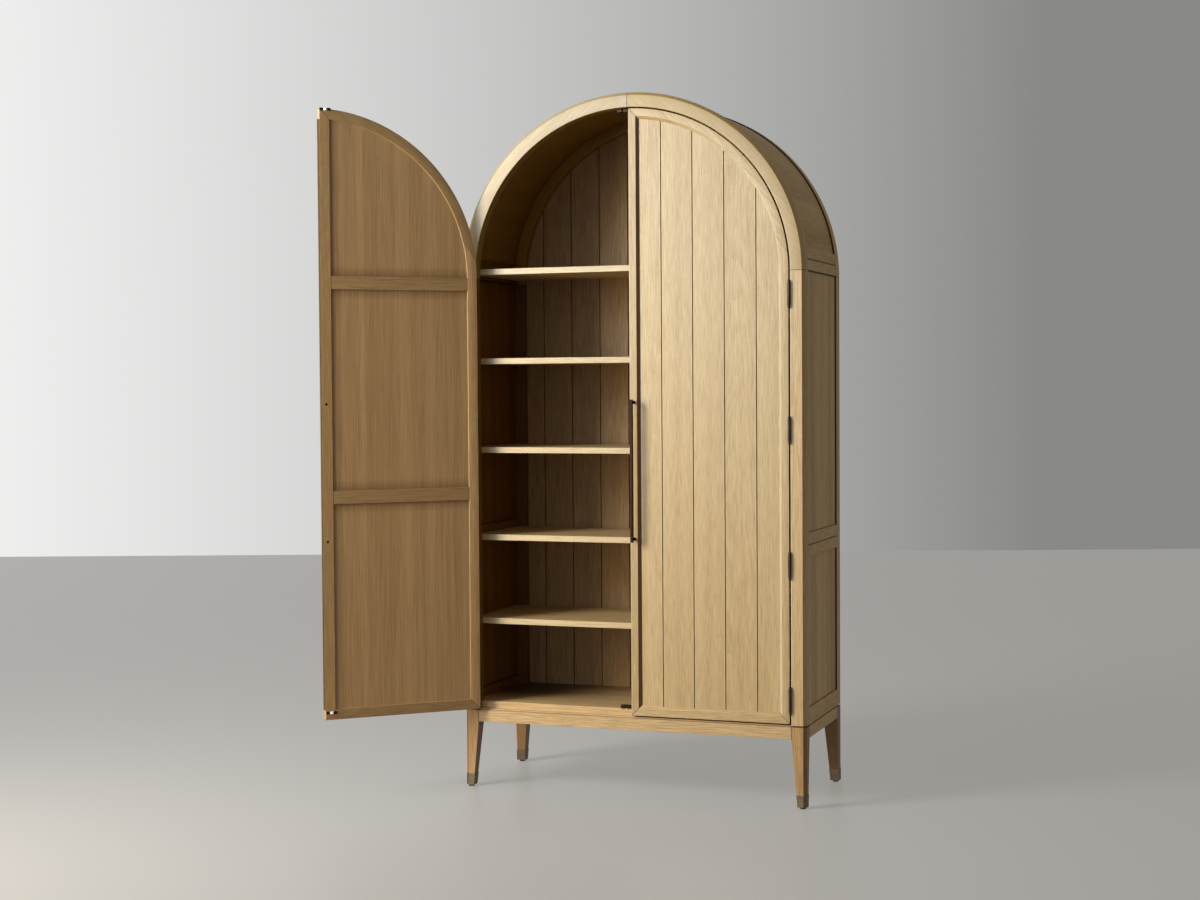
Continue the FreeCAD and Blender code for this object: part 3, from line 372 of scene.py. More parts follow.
# seam and recess: dark joints with painted shade in grooves, recesses and steps
markTones = {"seam": (0.06, 0.028, 0.009), "joint": (0.07, 0.036, 0.014), "recess": (0.02, 0.011, 0.005)}
# painted shade and painted highlights, laid on by the masks below
shadeTones = {  # they darken or lighten what is there
    "inside": (0.28, 0.17, 0.04), "soffit": (0.56, 0.44, 0.18), "doorBack": (0.62, 0.54, 0.46),
    "stileBack": (0.92, 0.81, 0.75), "meetingBack": (0.84, 0.76, 0.68), "doorEdge": (0.13, 0.09, 0.06),
    "bevel": (0.3, 0.21, 0.13), "plate": (0.1, 0.08, 0.07), "railShade": (0.6, 0.54, 0.48),
    "legSide": (0.46, 0.41, 0.34), "postSide": (0.78, 0.7, 0.62), "shelfEdge": (1.1, 1.22, 1.5),
    "boardBack": (0.16, 0.11, 0.02), "rearStep": (0.13, 0.09, 0.06), "panelEdge": (0.7, 0.68, 0.66),
    "bevelLit": (1.1, 1.36, 2.05), "edgeLit": (1.15, 1.36, 1.95), "postEdge": (1.15, 1.36, 1.95),
    "grooveLit": (1.16, 1.24, 1.42),
}
# Masks on carcass places: the parts of a row are multiplied, and the highest row counts. A ramp rises from its
# first place to its second; a band is 1 between them, with edges as soft as this.
bandEdge = 0.0003
masks = {
    # painted shade on the faces that look into the case, and on the eased inner edge in front of them
    "inside": [[("reach ramp", 0.6056, 0.6046), ("y band", 0.0456, 0.496)],
               [("reach ramp", 0.566, 0.5656), ("y ramp", 0.0015, 0.004)]],
    # painted shade on a door's hinge side, round top and bottom faces
    "doorEdge": [[("reach ramp", door["reach"] - 0.0006, door["reach"] - 0.0003)],
                 [("z ramp", door["low"] + 0.0006, door["low"] + 0.0003)]],
    # painted shade on the doors' back faces
    "doorBack": [[("y ramp", 0.0214, 0.0217)]],
    # painted highlight on the shelves' front edges
    "shelfEdge": [[("y ramp", cabinet["shelfFront"] + 0.0009, cabinet["shelfFront"] + 0.0006)]],
    # painted shade on the floor board, away from the light
    "boardBack": [[("y ramp", 0.05, 0.26), ("x ramp", 0.02, -0.4)]],
    # a leg's front and left faces, which keep their tone; its other faces get painted shade
    "legSide": [[("y band", -0.002, 0.0008)], [("y band", 0.45, 0.4528)], [("x ramp", -0.613, -0.614)]],
    # painted shade on the right post's outer side and its chamfer
    "postSide": [[("x ramp", 0.6142, 0.6145)], [("x band", 0.6056, 0.6148)]],
    # painted shade on the rear frame's step beside the panels and the skin
    "rearStep": [[("y band", 0.4485, 0.4512), ("reach ramp", 0.6092, 0.6096)]],
    # painted highlight on the round bevel of the door, where it looks towards the light
    "bevelLit": [[("reach band", door["inner"] - 0.0002, door["inner"] + door["bevelWide"] - 0.0008),
                  ("y band", 0.0004, 0.0092), ("x ramp", 0.15, 0.4)]],
    # painted shade on the bevel that looks away from the light, on the stile in the middle
    "bevel": [[("y band", 0.0006, 0.02), ("x band", door["stileInner"] - door["bevelWide"] + 0.0004, 0.04)]],
    # painted highlight on the eased left edge of the right door, and on the inner edge of the right post and arch
    "edgeLit": [[("x band", 0.0035, 0.0076), ("y band", -0.001, 0.003)]],
    "postEdge": [[("reach band", 0.5652, 0.5682), ("y band", -0.001, 0.0012), ("x ramp", 0.35, 0.52)]],
    # soft painted shade on the veneer beside the meeting stile and the cross rails
    "panelEdge": [[("aside ramp", door["stileInner"] + 0.045, door["stileInner"])]],
    "railShade": [[("railAway ramp", 0.058, 0.0225)]],
    # painted shade on the base plate's set-in edge above the legs and sides
    "plate": [[("aside ramp", 0.56, 0.564)]],
}
invertedMasks = ("legSide",)
sharedMasks = {"soffit": "inside", "stileBack": "doorBack", "meetingBack": "doorBack"}


def measure(by, place):
    x, y, z = split(place)
    if by == "reach":  # from the arch's axis, and below the spring from the middle plane
        return vectors("LENGTH", join(x, larger(z - spring, 0.0), 0.0))
    if by == "railAway":  # from the nearer cross rail
        return sums("MINIMUM", *(abs(z - level) for level in door["crossRails"]))
    return abs(x) if by == "aside" else {"x": x, "y": y, "z": z}[by]


def within(value, low, high):
    return remap(value, low - bandEdge, low) * remap(value, high + bandEdge, high)


def maskOf(shade, place):
    total = None
    for row in masks[sharedMasks.get(shade, shade)]:
        product = None
        for how, low, high in row:
            by, way = how.split()
            part = (within if way == "band" else remap)(measure(by, place), low, high)
            product = product * part if product else part
        total = larger(total, product) if total else product
    return 1.0 - total if shade in invertedMasks else total


def makeOak(name, grain, seed, swung=False, tone=0.0, kind="outside", figure=1.0, streaks=1.0, planks=None,
            lines=(), shades=(), bands=1.0):
    material, tree, skin = newMaterial(name)
    board, place = boardPlaces(tree, grain, swung), boardPlaces(tree, "upright", swung)
    pale, dark = oakTones[kind]
    if kind == "veneer":  # finer and longer figure
        board = vectors("MULTIPLY", board, oakLook["veneerStretch"])
    if planks is not None:
        step = placeGroup(tree, plankGroup, Board=board, Start=planks, Pitch=planking["pitch"], Seed=seed)
        board = step["Board"]
        tone = step["Tone"] * planking["spread"] + tone
        figure = step["Figure"] * figure
    oak = placeGroup(tree, oakGroup, Board=board, Seed=seed, Tone=tone, Figure=figure, Streaks=streaks, Bands=bands,
                     Pale=pale, Dark=dark)
    eased = placeGroup(tree, edgeGroup, Radius=reliefs["oak"]["edge"])
    # edges painted paler: edge wear and a painted highlight
    colour = blendColour(eased["Wear"] * edgeLook["oakWearAndHighlight"], oak["Colour"], pale)
    # painted shade and painted highlights where the masks say
    for shade in shades:
        colour = blendColour(maskOf(shade, place), colour, shadeTones[shade], "MULTIPLY")
    rough = oak["Roughness"]
    if planks is not None:
        rough = larger(rough, step["Seam"])  # no sheen down in the grooves
        # a painted highlight on the edge beside each groove
        if kind == "front":
            colour = blendColour(step["Lit"], colour, shadeTones["grooveLit"], "MULTIPLY")
        # painted shade in the grooves, where the finish also gathers
        colour = blendColour(step["Seam"] * planking["seamShare"], colour, markTones["seam"])
    # joint lines, dark where pieces meet; the recess tone and the lip line add painted shade
    for facing, offset, (width, strength, tint) in lines:  # dark near the plane where two pieces meet
        line = remap(abs(vectors("DOT_PRODUCT", place, facing) - offset), width, width * lineCore)
        colour = blendColour(line * strength, colour, markTones[tint])
    finishSkin(skin, colour, rough, oak["Height"], "oak", eased)
    feed(skin.inputs["Specular IOR Level"], specularLevels.get(kind, 0.5))
    return material


def makeMetal(name, grain, colour, tarnish, rough, swung=False, wear=(0.5, 0.4, 0.3), wearAndHighlightShare=0.4, bright=None,
              tint=None):
    material, tree, skin = newMaterial(name)
    place = boardPlaces(tree, grain, swung)
    brushed = placeGroup(tree, brushedGroup, Place=place, Colour=colour, Tarnish=tarnish, Rough=rough)
    eased = placeGroup(tree, edgeGroup, Radius=reliefs["metal"]["edge"])
    # edges painted in the wear colour: edge wear and a painted highlight
    shine = blendColour(eased["Wear"] * wearAndHighlightShare, brushed["Colour"], wear)
    if bright:  # a polished middle: its place across the front, half its width, its colour
        centre, halfWidth, polish = bright
        away = abs(split(boardPlaces(tree, "upright", swung))[0] - centre)
        shine = blendColour(remap(away, halfWidth + bandEdge, halfWidth), shine, polish)
    finishSkin(skin, shine, brushed["Roughness"], brushed["Height"], "metal", eased)
    feed(skin.inputs["Metallic"], 1.0)
    if tint:  # at grazing angles
        feed(skin.inputs["Specular Tint"], tint)
    return material


plasticLook = {"colour": (0.012, 0.011, 0.01), "roughness": (0.39, 0.53), "gritPerMetre": 1800.0,
               "dustPerMetre": 60.0, "gritSpan": (0.3, 0.7), "dustSpan": (0.4, 0.75), "dusty": (0.0348, 0.0329, 0.031)}


def makePlastic(name):
    material, tree, skin = newMaterial(name)
    place = boardPlaces(tree, "upright", False)
    grit, dust = (noise(place, (plasticLook[scale],) * 3)["Fac"] for scale in ("gritPerMetre", "dustPerMetre"))
    colour = blendColour(remap(dust, *plasticLook["dustSpan"]), plasticLook["colour"], plasticLook["dusty"])
    finishSkin(skin, colour, remap(grit, *plasticLook["gritSpan"], *plasticLook["roughness"]), grit, "moulded")
    return material


def lift(reach, across):  # height above the spring of a circle of that reach
    return math.sqrt(reach ** 2 - across ** 2)


# Where a door's members meet: lines through two points (x, z), counted from the arch's centre
doorFoot = (door["low"] - spring, door["lowInner"] - spring)
mitres = {
    "top": ((door["edge"], lift(door["reach"], door["edge"])),
            (door["stileInner"], lift(door["inner"], door["stileInner"]))),
    "scarf": ((lift(door["reach"], door["scarfOuter"]), door["scarfOuter"]),
              (lift(door["inner"], door["scarfInner"]), door["scarfInner"])),
    "lowLeft": ((door["edge"], doorFoot[0]), (door["stileInner"], doorFoot[1])),
    "lowRight": ((door["reach"], doorFoot[0]), (door["inner"], doorFoot[1])),
}
# lines in the recess tone are dark joints deepened by painted shade where a panel sits back behind a rail or a step
lineLooks = {  # half width, strength and tone
    "case": (0.0014, 0.9, "joint"), "fine": (0.001, 0.8, "joint"), "door": (0.001, 0.9, "joint"),
    "recess": (0.0042, 1.0, "recess"), "rail": (0.0026, 0.95, "recess"), "railLow": (0.002, 0.7, "recess"),
    "groove": (0.003, 0.95, "seam"), "strip": (0.002, 0.9, "joint"), "lip": (0.0012, 0.75, "joint"),
}


def mitreLine(name, side):
    (x0, z0), (x1, z1) = mitres[name]
    length = math.hypot(x1 - x0, z1 - z0)
    facing = ((z1 - z0) / length, 0.0, -(x1 - x0) / length)
    offset = facing[0] * x0 + facing[2] * (z0 + spring)
    return (facing[0] * side, 0.0, facing[2]), offset, lineLooks["door"]


def caseLines(axis, look, *offsets):  # joints square to one axis
    facing = tuple(1.0 if letter == axis else 0.0 for letter in "xyz")
    return [(facing, offset, lineLooks[look]) for offset in offsets]


def raisedLines(degrees, look):  # a joint that many degrees above the spring, on both sides
    angle = math.radians(degrees)
    return [((-math.sin(angle) * side, 0.0, math.cos(angle)), math.cos(angle) * spring, lineLooks[look])
            for side in (1, -1)]


roofEnd = 7.2  # degrees above the spring where the skin starts
springLine = caseLines("z", "case", spring)
crownLine = caseLines("x", "case", 0.0)
cornerLines = caseLines("x", "case", cabinet["inner"], -cabinet["inner"])
apronLines = caseLines("y", "case", cabinet["apronFront"], cabinet["apronRear"])
recessRear = caseLines("y", "recess", cabinet["rearFrame"])
nodeLines = {
    "arch": springLine + crownLine, "post": springLine, "front_apron": cornerLines, "rear_apron": cornerLines,
    # the lip line on the base plate: a dark joint, and painted shade along the gap under the doors
    "base_plate": caseLines("z", "lip", cabinet["apronTop"]), "side_aprons": apronLines,
    "leg": cornerLines + apronLines,
    "side_rails": caseLines("y", "case", cabinet["frameDeep"], cabinet["rearFrame"])
    + caseLines("z", "rail", cabinet["railsMeet"], spring) + raisedLines(roofEnd / 2, "rail"),
    "side_panels": recessRear + caseLines("z", "rail", *cabinet["panelEdges"])
    + caseLines("z", "railLow", cabinet["lowPanelTop"]),
    "roof_panel": recessRear + caseLines("y", "railLow", cabinet["frameDeep"]) + raisedLines(roofEnd, "fine"),
}
doorMitres = {"meeting_stile": ["top", "lowLeft"], "hinge_stile": ["scarf", "lowRight"],
              "bottom_rail": ["lowLeft", "lowRight"], "arch_rail": ["top"]}
# Grain, tone, figure and streaks of every oak node; its seed is its place in the list
oakNodes = {
    "post_front_right": ("upright", 0.04, 0.4, 1.1), "post_front_left": ("upright", 0.02, 0.4, 1.1),
    "post_rear_right post_rear_left": ("uprightSide", 0.0, 0.5, 1.0),
    "arch_front_right arch_front_left": ("arch", 0.04, 0.5, 0.7),
    "arch_rear_right arch_rear_left": ("arch", 0.0, 0.6, 1.0),
    "leg_front_right": ("upright", -0.12, 1.0, 1.5), "leg_front_left": ("upright", -0.1, 0.9, 1.5),
    # the left rear leg's high tone makes it paler: painted light
    "leg_rear_right": ("upright", -0.2, 0.9, 1.4), "leg_rear_left": ("upright", 0.45, 0.8, 1.4),
    "front_apron": ("sideways", 0.02, 1.5, 1.6), "rear_apron": ("sideways", 0.0, 1.0, 1.2),
    "side_aprons": ("frontToBack", 0.0, 1.0, 1.2), "base_plate": ("lyingSideways", -0.2, 0.5, 1.0),
    "side_rails_right side_rails_left": ("frontToBack", 0.0, 0.8, 1.1),
    "side_panels_right side_panels_left": ("uprightSide", 0.0, 0.8, 1.0),
    "roof_panel": ("frontToBack", -0.28, 0.4, 0.7), "floor_board": ("lyingSideways", 0.0, 0.8, 1.2),
    "fixed_shelf_lower fixed_shelf_upper adjustable_shelves": ("lyingSideways", 0.06, 0.6, 1.1),
}
doorNodes = {
    "meeting_stile": ("upright", -0.42, 0.5, 1.0), "hinge_stile": ("upright", 0.0, 0.6, 1.1),
    "bottom_rail": ("sideways", 0.0, 1.2, 1.4), "cross_rails": ("sideways", 0.04, 0.8, 1.2),
    "arch_rail": ("arch", 0.03, 0.6, 1.2), "veneer_panels": ("upright", 0.0, 0.9, 1.4),
}
# The next tables go by how a node's name starts
kinds = {
    "post_front": "post", "arch_front_left": "archLeft", "arch_front_right": "archRight", "front_apron": "apron",
    "fixed_shelf": "shelf", "adjustable_shelves": "shelf", "roof_panel": "side", "side": "side", "arch_rear": "side",
    "leg": "leg", "base_plate": "apron", "floor_board": "apron",
}
broadBands = {"side_panels": 2.2, "front_apron": 0.8, "arch_front": 0.7, "veneer_panels": 1.7}
# painted shade and painted highlights on these nodes, by the masks above
nodeShades = {
    "post_front": ["inside", "postSide", "postEdge"], "post_rear": ["inside", "rearStep"],
    "arch_front": ["soffit", "postEdge"], "arch_rear": ["soffit", "rearStep"], "roof_panel": ["soffit"],
    "side_panels": ["inside"], "side_rails": ["inside"], "leg": ["legSide"], "fixed_shelf": ["shelfEdge"],
    "adjustable_shelves": ["shelfEdge"], "floor_board": ["boardBack"], "base_plate": ["plate"],
}
# painted shade on the doors' back faces, less of it on the stiles
backTones = {"hinge_stile": "stileBack", "meeting_stile": "meetingBack"}


def chosen(table, node, default):
    return next((value for key, value in table.items() if node.startswith(key)), default)


def doorOak(side, part, seed):
    swung = side == "left"
    sign = -1 if swung else 1
    grain, tone, figure, streaks = doorNodes[part]
    if grain == "arch":
        grain += side.title()
    stileLine = caseLines("x", "case", sign * door["stileInner"])
    lines = [mitreLine(name, sign) for name in doorMitres.get(part, ())]
    # painted shade on the back face and on the edge faces
    shades = [backTones.get(part, "doorBack"), "doorEdge"]
    # painted highlight on the round bevel of the closed door
    if part in ("hinge_stile", "arch_rail") and not swung:
        shades.append("bevelLit")
    if part == "meeting_stile":  # the hidden corner behind the bevel, and the strip that closes the middle gap
        lines += stileLine
        if swung:
            lines += caseLines("x", "strip", door["stripEdge"])
        else:
            # painted shade on the bevel away from the light, and a painted highlight on the eased left edge
            shades += ["bevel", "edgeLit"]
    if part == "cross_rails":
        lines += stileLine + caseLines("x", "case", sign * door["inner"])
    kind = "front"
    if part == "veneer_panels":
        # soft painted shade beside the stile and the cross rails
        kind, shades = "veneer", ["panelEdge", "railShade"]
    return makeOak(side + part.title().replace("_", "") + "Oak", grain, seed, swung, tone, kind, figure, streaks, None,
                   lines, shades, chosen(broadBands, part, 1.0))


oaks = {}
seed = 1.0
for nodes, (grain, tone, figure, streaks) in oakNodes.items():
    for node in nodes.split():
        cut = grain + node.split("_")[-1].title() if grain == "arch" else grain
        oaks[node] = makeOak(
            node + "Oak", cut, seed, False, tone, chosen(kinds, node, "outside"), figure, streaks, None,
            chosen(nodeLines, node, ()), chosen(nodeShades, node, ()), chosen(broadBands, node, 1.0))
        seed += 1.0
sides = (("left", -1), ("right", 1))
for side, sign in sides:
    for part in doorNodes:
        oaks[side + "_" + part] = doorOak(side, part, seed)
        seed += 1.0
    oaks[side + "_plank_panel"] = makeOak(
        side + "PlankOak", "upright", seed, side == "left", planking["tone"], "front", planking["figure"],
        planking["streaks"], sign * planking["doorStart"], caseLines("x", "groove", sign * door["stileInner"]))
    seed += 1.0
oaks["back_panel"] = makeOak("backPlankOak", "upright", seed, kind="back", figure=planking["backFigure"],
                             planks=planking["pitch"] / 2)

metals = {
    "ferrule": {"colour": (0.165, 0.122, 0.078), "tarnish": (0.12, 0.088, 0.057), "rough": 0.42},
    "pull": {"colour": (0.02, 0.012, 0.008), "tarnish": (0.014, 0.009, 0.006), "rough": 0.38,
             "wear": (0.3, 0.21, 0.15), "wearAndHighlightShare": 0.3, "tint": (0.3, 0.2, 0.13)},
    "hinge": {"colour": (0.045, 0.035, 0.03), "tarnish": (0.025, 0.02, 0.017), "rough": 0.45,
              "wear": (0.3, 0.24, 0.19), "wearAndHighlightShare": 0.3},
    "brass": {"colour": (0.026, 0.016, 0.012), "tarnish": (0.018, 0.011, 0.008), "rough": 0.4,
              "wearAndHighlightShare": 0.1, "tint": (0.4, 0.28, 0.22)},
    "steel": {"colour": (0.62, 0.6, 0.57), "tarnish": (0.42, 0.4, 0.37), "rough": 0.25},
    "bolt": {"colour": (0.03, 0.024, 0.02), "tarnish": (0.018, 0.015, 0.012), "rough": 0.4, "wearAndHighlightShare": 0.15},
}
strikeMiddle = {"centre": 0.025, "halfWidth": 0.0062, "colour": (0.95, 0.94, 0.92)}
caseMetals = {  # name, brushing and metal
    "ferrules": ("ferruleBronze", "sideways", "ferrule"), "frame_hinge_leaves": ("hingeLeafMetal", "upright", "hinge"),
    "hinge_pins": ("hingePinMetal", "upright", "hinge"), "catch_housings": ("catchBrass", "sideways", "brass"),
    "catch_balls": ("catchBallSteel", "upright", "steel"), "shelf_pins": ("shelfPinSteel", "frontToBack", "steel"),
}
doorMetals = {
    "handle_bar": ("PullBronze", "upright", "pull"), "handle_standoffs": ("StandoffBronze", "frontToBack", "pull"),
    "handle_bolts": ("BoltBlack", "frontToBack", "bolt"), "strikes": ("StrikeBrass", "sideways", "brass"),
    "hinge_leaves": ("DoorLeafMetal", "upright", "hinge"),
}
finishes = {node: makeMetal(name, grain, **metals[metal]) for node, (name, grain, metal) in caseMetals.items()}
for side, sign in sides:
    middle = (strikeMiddle["centre"] * sign, strikeMiddle["halfWidth"], strikeMiddle["colour"])
    for node, (name, grain, metal) in doorMetals.items():
        finishes[side + "_" + node] = makeMetal(
            side + name, grain, swung=side == "left", bright=middle if node == "strikes" else None, **metals[metal])
glideBlack = makePlastic("glideBlack")
for node in ("glide_front_left", "glide_front_right", "glide_rear_left", "glide_rear_right"):
    finishes[node] = glideBlack
for node, finish in (oaks | finishes).items():
    mesh = frame["nodes"][node].data
    mesh.materials.clear()
    mesh.materials.append(finish)
print("finishes made:", len(bpy.data.materials))


# Shapes worked out from profiles
easeShare = 0.45  # how much of the shorter side a corner may take


def easeCorners(corners, radii, steps=3):
    # every corner of a closed profile becomes a short curve between the points one radius away on both sides
    corners = np.asarray(corners, float)
    before, after = np.roll(corners, 1, 0) - corners, np.roll(corners, -1, 0) - corners
    lengths = np.linalg.norm(before, axis=1, keepdims=True)
    nextLengths = np.roll(lengths, -1, 0)
    reach = np.minimum(np.broadcast_to(radii, len(corners))[:, None], easeShare * np.minimum(lengths, nextLengths))
    first, last = corners + before / lengths * reach, corners + after / nextLengths * reach
    t = np.linspace(0, 1, steps + 1)[None, :, None]
    curve = (1 - t) ** 2 * first[:, None] + 2 * t * (1 - t) * corners[:, None] + t ** 2 * last[:, None]
    return curve.reshape(-1, 2)


def easedRings(profile, count, inset):
    # the profile repeated along a path; the first and last are drawn inwards, so both ends have eased edges
    tangent = np.roll(profile, -1, 0) - np.roll(profile, 1, 0)
    turn = np.sign(np.sum(profile[:, 0] * np.roll(profile[:, 1], -1) - np.roll(profile[:, 0], -1) * profile[:, 1]))
    inward = np.stack([-tangent[:, 1], tangent[:, 0]], 1) * turn
    rings = np.repeat(profile[None], count, 0)
    rings[[0, -1]] += inward / np.linalg.norm(inward, axis=1, keepdims=True) * inset
    return rings


def shares(count, inset):  # 0, a little, evenly on, nearly 1 and 1
    return np.concatenate([[0.0], np.linspace(inset, 1.0 - inset, count - 2), [1.0]])[:, None]


def turned(profile, steps=32):
    # a profile of (distance from the axis, height) carried round the axis, as rings of (across, across, height)
    profile = np.asarray(profile, float)
    around = np.linspace(0, 2 * np.pi, steps, endpoint=False)
    first, second = profile[:, :1] * np.cos(around), profile[:, :1] * np.sin(around)
    return first, second, np.broadcast_to(profile[:, 1:], first.shape)


def stand(x, y, z):  # carcass places -> the frame
    return np.stack(np.broadcast_arrays(x, y, z), -1) + np.array(origin)


def hang(x, y, z, side):  # places on the right door -> the frame; the left door is its mirror, swung open
    if side == "right":
        return stand(x, y, z)
    turn, centre = np.array(Matrix.Rotation(-swing, 3, "Z")), np.array(pivot)
    return (stand(-x, y, z) - centre) @ turn.T + centre


def newObject(name, data):
    made = bpy.data.objects.new(name, data)
    bpy.context.collection.objects.link(made)
    return made


def addPiece(name, grids, body, material, replaced=(), sharp=30.0):
    # each grid is rings of points along a path: quads between neighbours, and a face over each end
    points, faces, start = [], [], 0
    for grid in grids:
        rows, around = grid.shape[:2]
        index = np.arange(rows * around).reshape(rows, around) + start
        low, high = index[:-1], index[1:]
        quads = np.stack([low, np.roll(low, -1, 1), np.roll(high, -1, 1), high], -1).reshape(-1, 4)
        faces += quads.tolist() + [index[0][::-1].tolist(), index[-1].tolist()]
        points.append(grid.reshape(-1, 3))
        start += rows * around
    mesh = bpy.data.meshes.new(name)
    mesh.from_pydata(np.concatenate(points).tolist(), [], faces)
    work = bmesh.new()
    work.from_mesh(mesh)
    bmesh.ops.recalc_face_normals(work, faces=work.faces)
    work.to_mesh(mesh)
    work.free()
    mesh.shade_smooth()
    mesh.set_sharp_from_angle(angle=math.radians(sharp))
    mesh.materials.append(material)
    piece = newObject(name, mesh)
    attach(piece, body)
    if replaced:
        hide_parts(*replaced)
    return piece


def addOak(name, grid, body, node):  # in place of that node, in its wood
    addPiece(name, [grid], body, oaks[node], (node,))


def addScrews(name, heads, body, node):  # beside that node, in its metal
    addPiece(name, heads, body, finishes[node], sharp=50.0)


# Front and rear arches: the post's section carried a quarter turn from the crown to the spring
archWork = {"steps": 74, "inset": 0.0004, "share": 0.0005}
archSections = {
    "front": ([(0.565, 0), (0.605, 0), (0.615, 0.01), (0.615, 0.045), (0.6101, 0.045), (0.6101, 0.037),
               (0.6039, 0.037), (0.6039, 0.045), (0.565, 0.045)],
              [0.0012, 0.0006, 0.0006, 0.0005, 0.0002, 0.0002, 0.0002, 0.0002, 0.0008]),
    "rear": ([(0.565, 0.45), (0.6039, 0.45), (0.6039, 0.458), (0.6101, 0.458), (0.6101, 0.45), (0.615, 0.45),
              (0.615, 0.5), (0.577, 0.5), (0.577, 0.478), (0.565, 0.478)],
             [0.0008, 0.0002, 0.0002, 0.0002, 0.0002, 0.0005, 0.0012, 0.0006, 0.0002, 0.0005]),
}


def makeArch(row, side, sign):
    # reach and depth from the section; the angle from the crown grows along the path
    rings = easedRings(easeCorners(*archSections[row]), archWork["steps"], archWork["inset"])
    angle = shares(archWork["steps"], archWork["share"]) * np.pi / 2
    reach, depth = rings[..., 0], rings[..., 1]
    grid = stand(sign * reach * np.sin(angle), depth, spring + reach * np.cos(angle))
    addOak("%sArch%s" % (row, side.title()), grid, "carcass", "arch_%s_%s" % (row, side))


for row in archSections:
    for side, sign in sides:
        makeArch(row, side, sign)

# Roof skin: a thin flat section bent over the top, let into the arches' grooves
roof = {"section": [(0.604, 0.0373), (0.61, 0.0373), (0.61, 0.4577), (0.604, 0.4577)], "ease": 0.0004, "steps": 122}


def makeRoof():
    rings = easedRings(easeCorners(roof["section"], roof["ease"]), roof["steps"], 0.0003)
    span = math.radians(90.0 - roofEnd)
    angle = (shares(roof["steps"], 0.0002) * 2 - 1) * span
    reach = rings[..., 0]
    grid = stand(reach * np.sin(angle), rings[..., 1], spring + reach * np.cos(angle))
    addOak("roofSkin", grid, "carcass", "roof_panel")


makeRoof()
print("arches and roof bent")


# Curved door members: the frame's section carried along the arc, its ends cut to the mitre and the scarf
def doorSection(outer, inner):
    toward = 1 if inner > outer else -1
    bevel, slot = inner - door["bevelWide"] * toward, inner - door["slotDeep"] * toward
    corners = [(outer, 0), (bevel, 0), (inner, door["bevelDeep"]), (inner, door["recess"]), (slot, door["recess"]),
               (slot, door["slotBack"]), (inner, door["slotBack"]), (inner, door["thick"]), (outer, door["thick"])]
    return easeCorners(corners, [door["ease"], 0.0005, 0.0005, 0.0003, 0.0002, 0.0002, 0.0003, 0.0006, door["ease"]])


def cutAngle(reach, name):
    # where a circle of that reach crosses a joint line: a quadratic in the share along the line, nearest its middle
    (x0, z0), (x1, z1) = mitres[name]
    dx, dz = x1 - x0, z1 - z0
    a, b, c = dx * dx + dz * dz, 2 * (x0 * dx + z0 * dz), x0 * x0 + z0 * z0 - reach ** 2
    root = np.sqrt(b * b - 4 * a * c)
    first, second = (-b - root) / (2 * a), (-b + root) / (2 * a)
    share = np.where(np.abs(first - 0.5) < np.abs(second - 0.5), first, second)
    return np.arctan2(z0 + share * dz, x0 + share * dx)


def makeArchRail(side):
    rings = easedRings(doorSection(door["reach"], door["inner"]), door["railSteps"], door["endEase"])
    reach = rings[..., 0]
    low, high = cutAngle(reach, "scarf"), cutAngle(reach, "top")
    angle = low + shares(door["railSteps"], door["railShare"]) * (high - low)
    grid = hang(reach * np.cos(angle), rings[..., 1], spring + reach * np.sin(angle), side)
    addOak(side + "ArchRail", grid, side + "_door", side + "_arch_rail")


def makeHingeStile(side):
    # straight from the bottom mitre to the spring, then on along the arc to the scarf
    straight = np.array([0.0, 0.0003, 0.5])[:, None]
    bent = shares(door["stileSteps"], door["stileShare"])[1:]
    rings = easedRings(doorSection(door["reach"], door["inner"]), len(straight) + len(bent) + 1, door["endEase"])
    reach = rings[..., 0]
    upTo, onwards = reach[:len(straight)], reach[len(straight):]
    foot = door["low"] + door["reach"] - upTo
    height = foot + straight * (spring - foot)
    angle = np.concatenate([[[0.0]], bent]) * cutAngle(onwards, "scarf")
    x = np.concatenate([upTo, onwards * np.cos(angle)])
    z = np.concatenate([height, spring + onwards * np.sin(angle)])
    addOak(side + "HingeStile", hang(x, rings[..., 1], z, side), side + "_door", side + "_hinge_stile")


# Bar pulls: a square bar with soft edges on two turned standoffs
pull = {"x": 0.019, "y": -0.027, "half": 0.005, "ease": 0.0012, "low": 0.8765, "high": 1.3615,
        "feet": (0.8865, 1.3515), "endInset": 0.0007,
        "foot": [(0.0045, -0.022), (0.0045, -0.0046), (0.0047, -0.0036), (0.0054, -0.0022), (0.0056, -0.0012),
                 (0.0056, -0.0004), (0.0053, 0.0)]}


def makePull(side):
    middle, size = np.array([pull["x"], pull["y"]]), pull["half"]
    corners = [middle + np.array(corner) * size for corner in ((-1, -1), (1, -1), (1, 1), (-1, 1))]
    rings = easedRings(easeCorners(corners, pull["ease"], 4), 4, pull["endInset"])
    levels = np.array([pull["low"], pull["low"] + pull["endInset"], pull["high"] - pull["endInset"], pull["high"]])
    addPiece(side + "PullBar", [hang(rings[..., 0], rings[..., 1], levels[:, None], side)], side + "_door",
             finishes[side + "_handle_bar"], (side + "_handle_bar",))
    across, up, along = turned(pull["foot"])
    addPiece(side + "PullFeet", [hang(pull["x"] + across, along, level + up, side) for level in pull["feet"]],
             side + "_door", finishes[side + "_handle_standoffs"], (side + "_handle_standoffs",))


# Screw heads: a low dome with a cross sunk into it
screwLook = {"rows": [(1.0, 0.0), (1.0, 0.5), (0.95, 0.8), (0.82, 0.94), (0.66, 1.0), (0.52, 1.0), (0.38, 1.0),
                      (0.24, 1.0), (0.08, 1.0)], "height": 0.00045, "armWidth": 0.15, "armReach": 0.62, "sunk": 0.8}


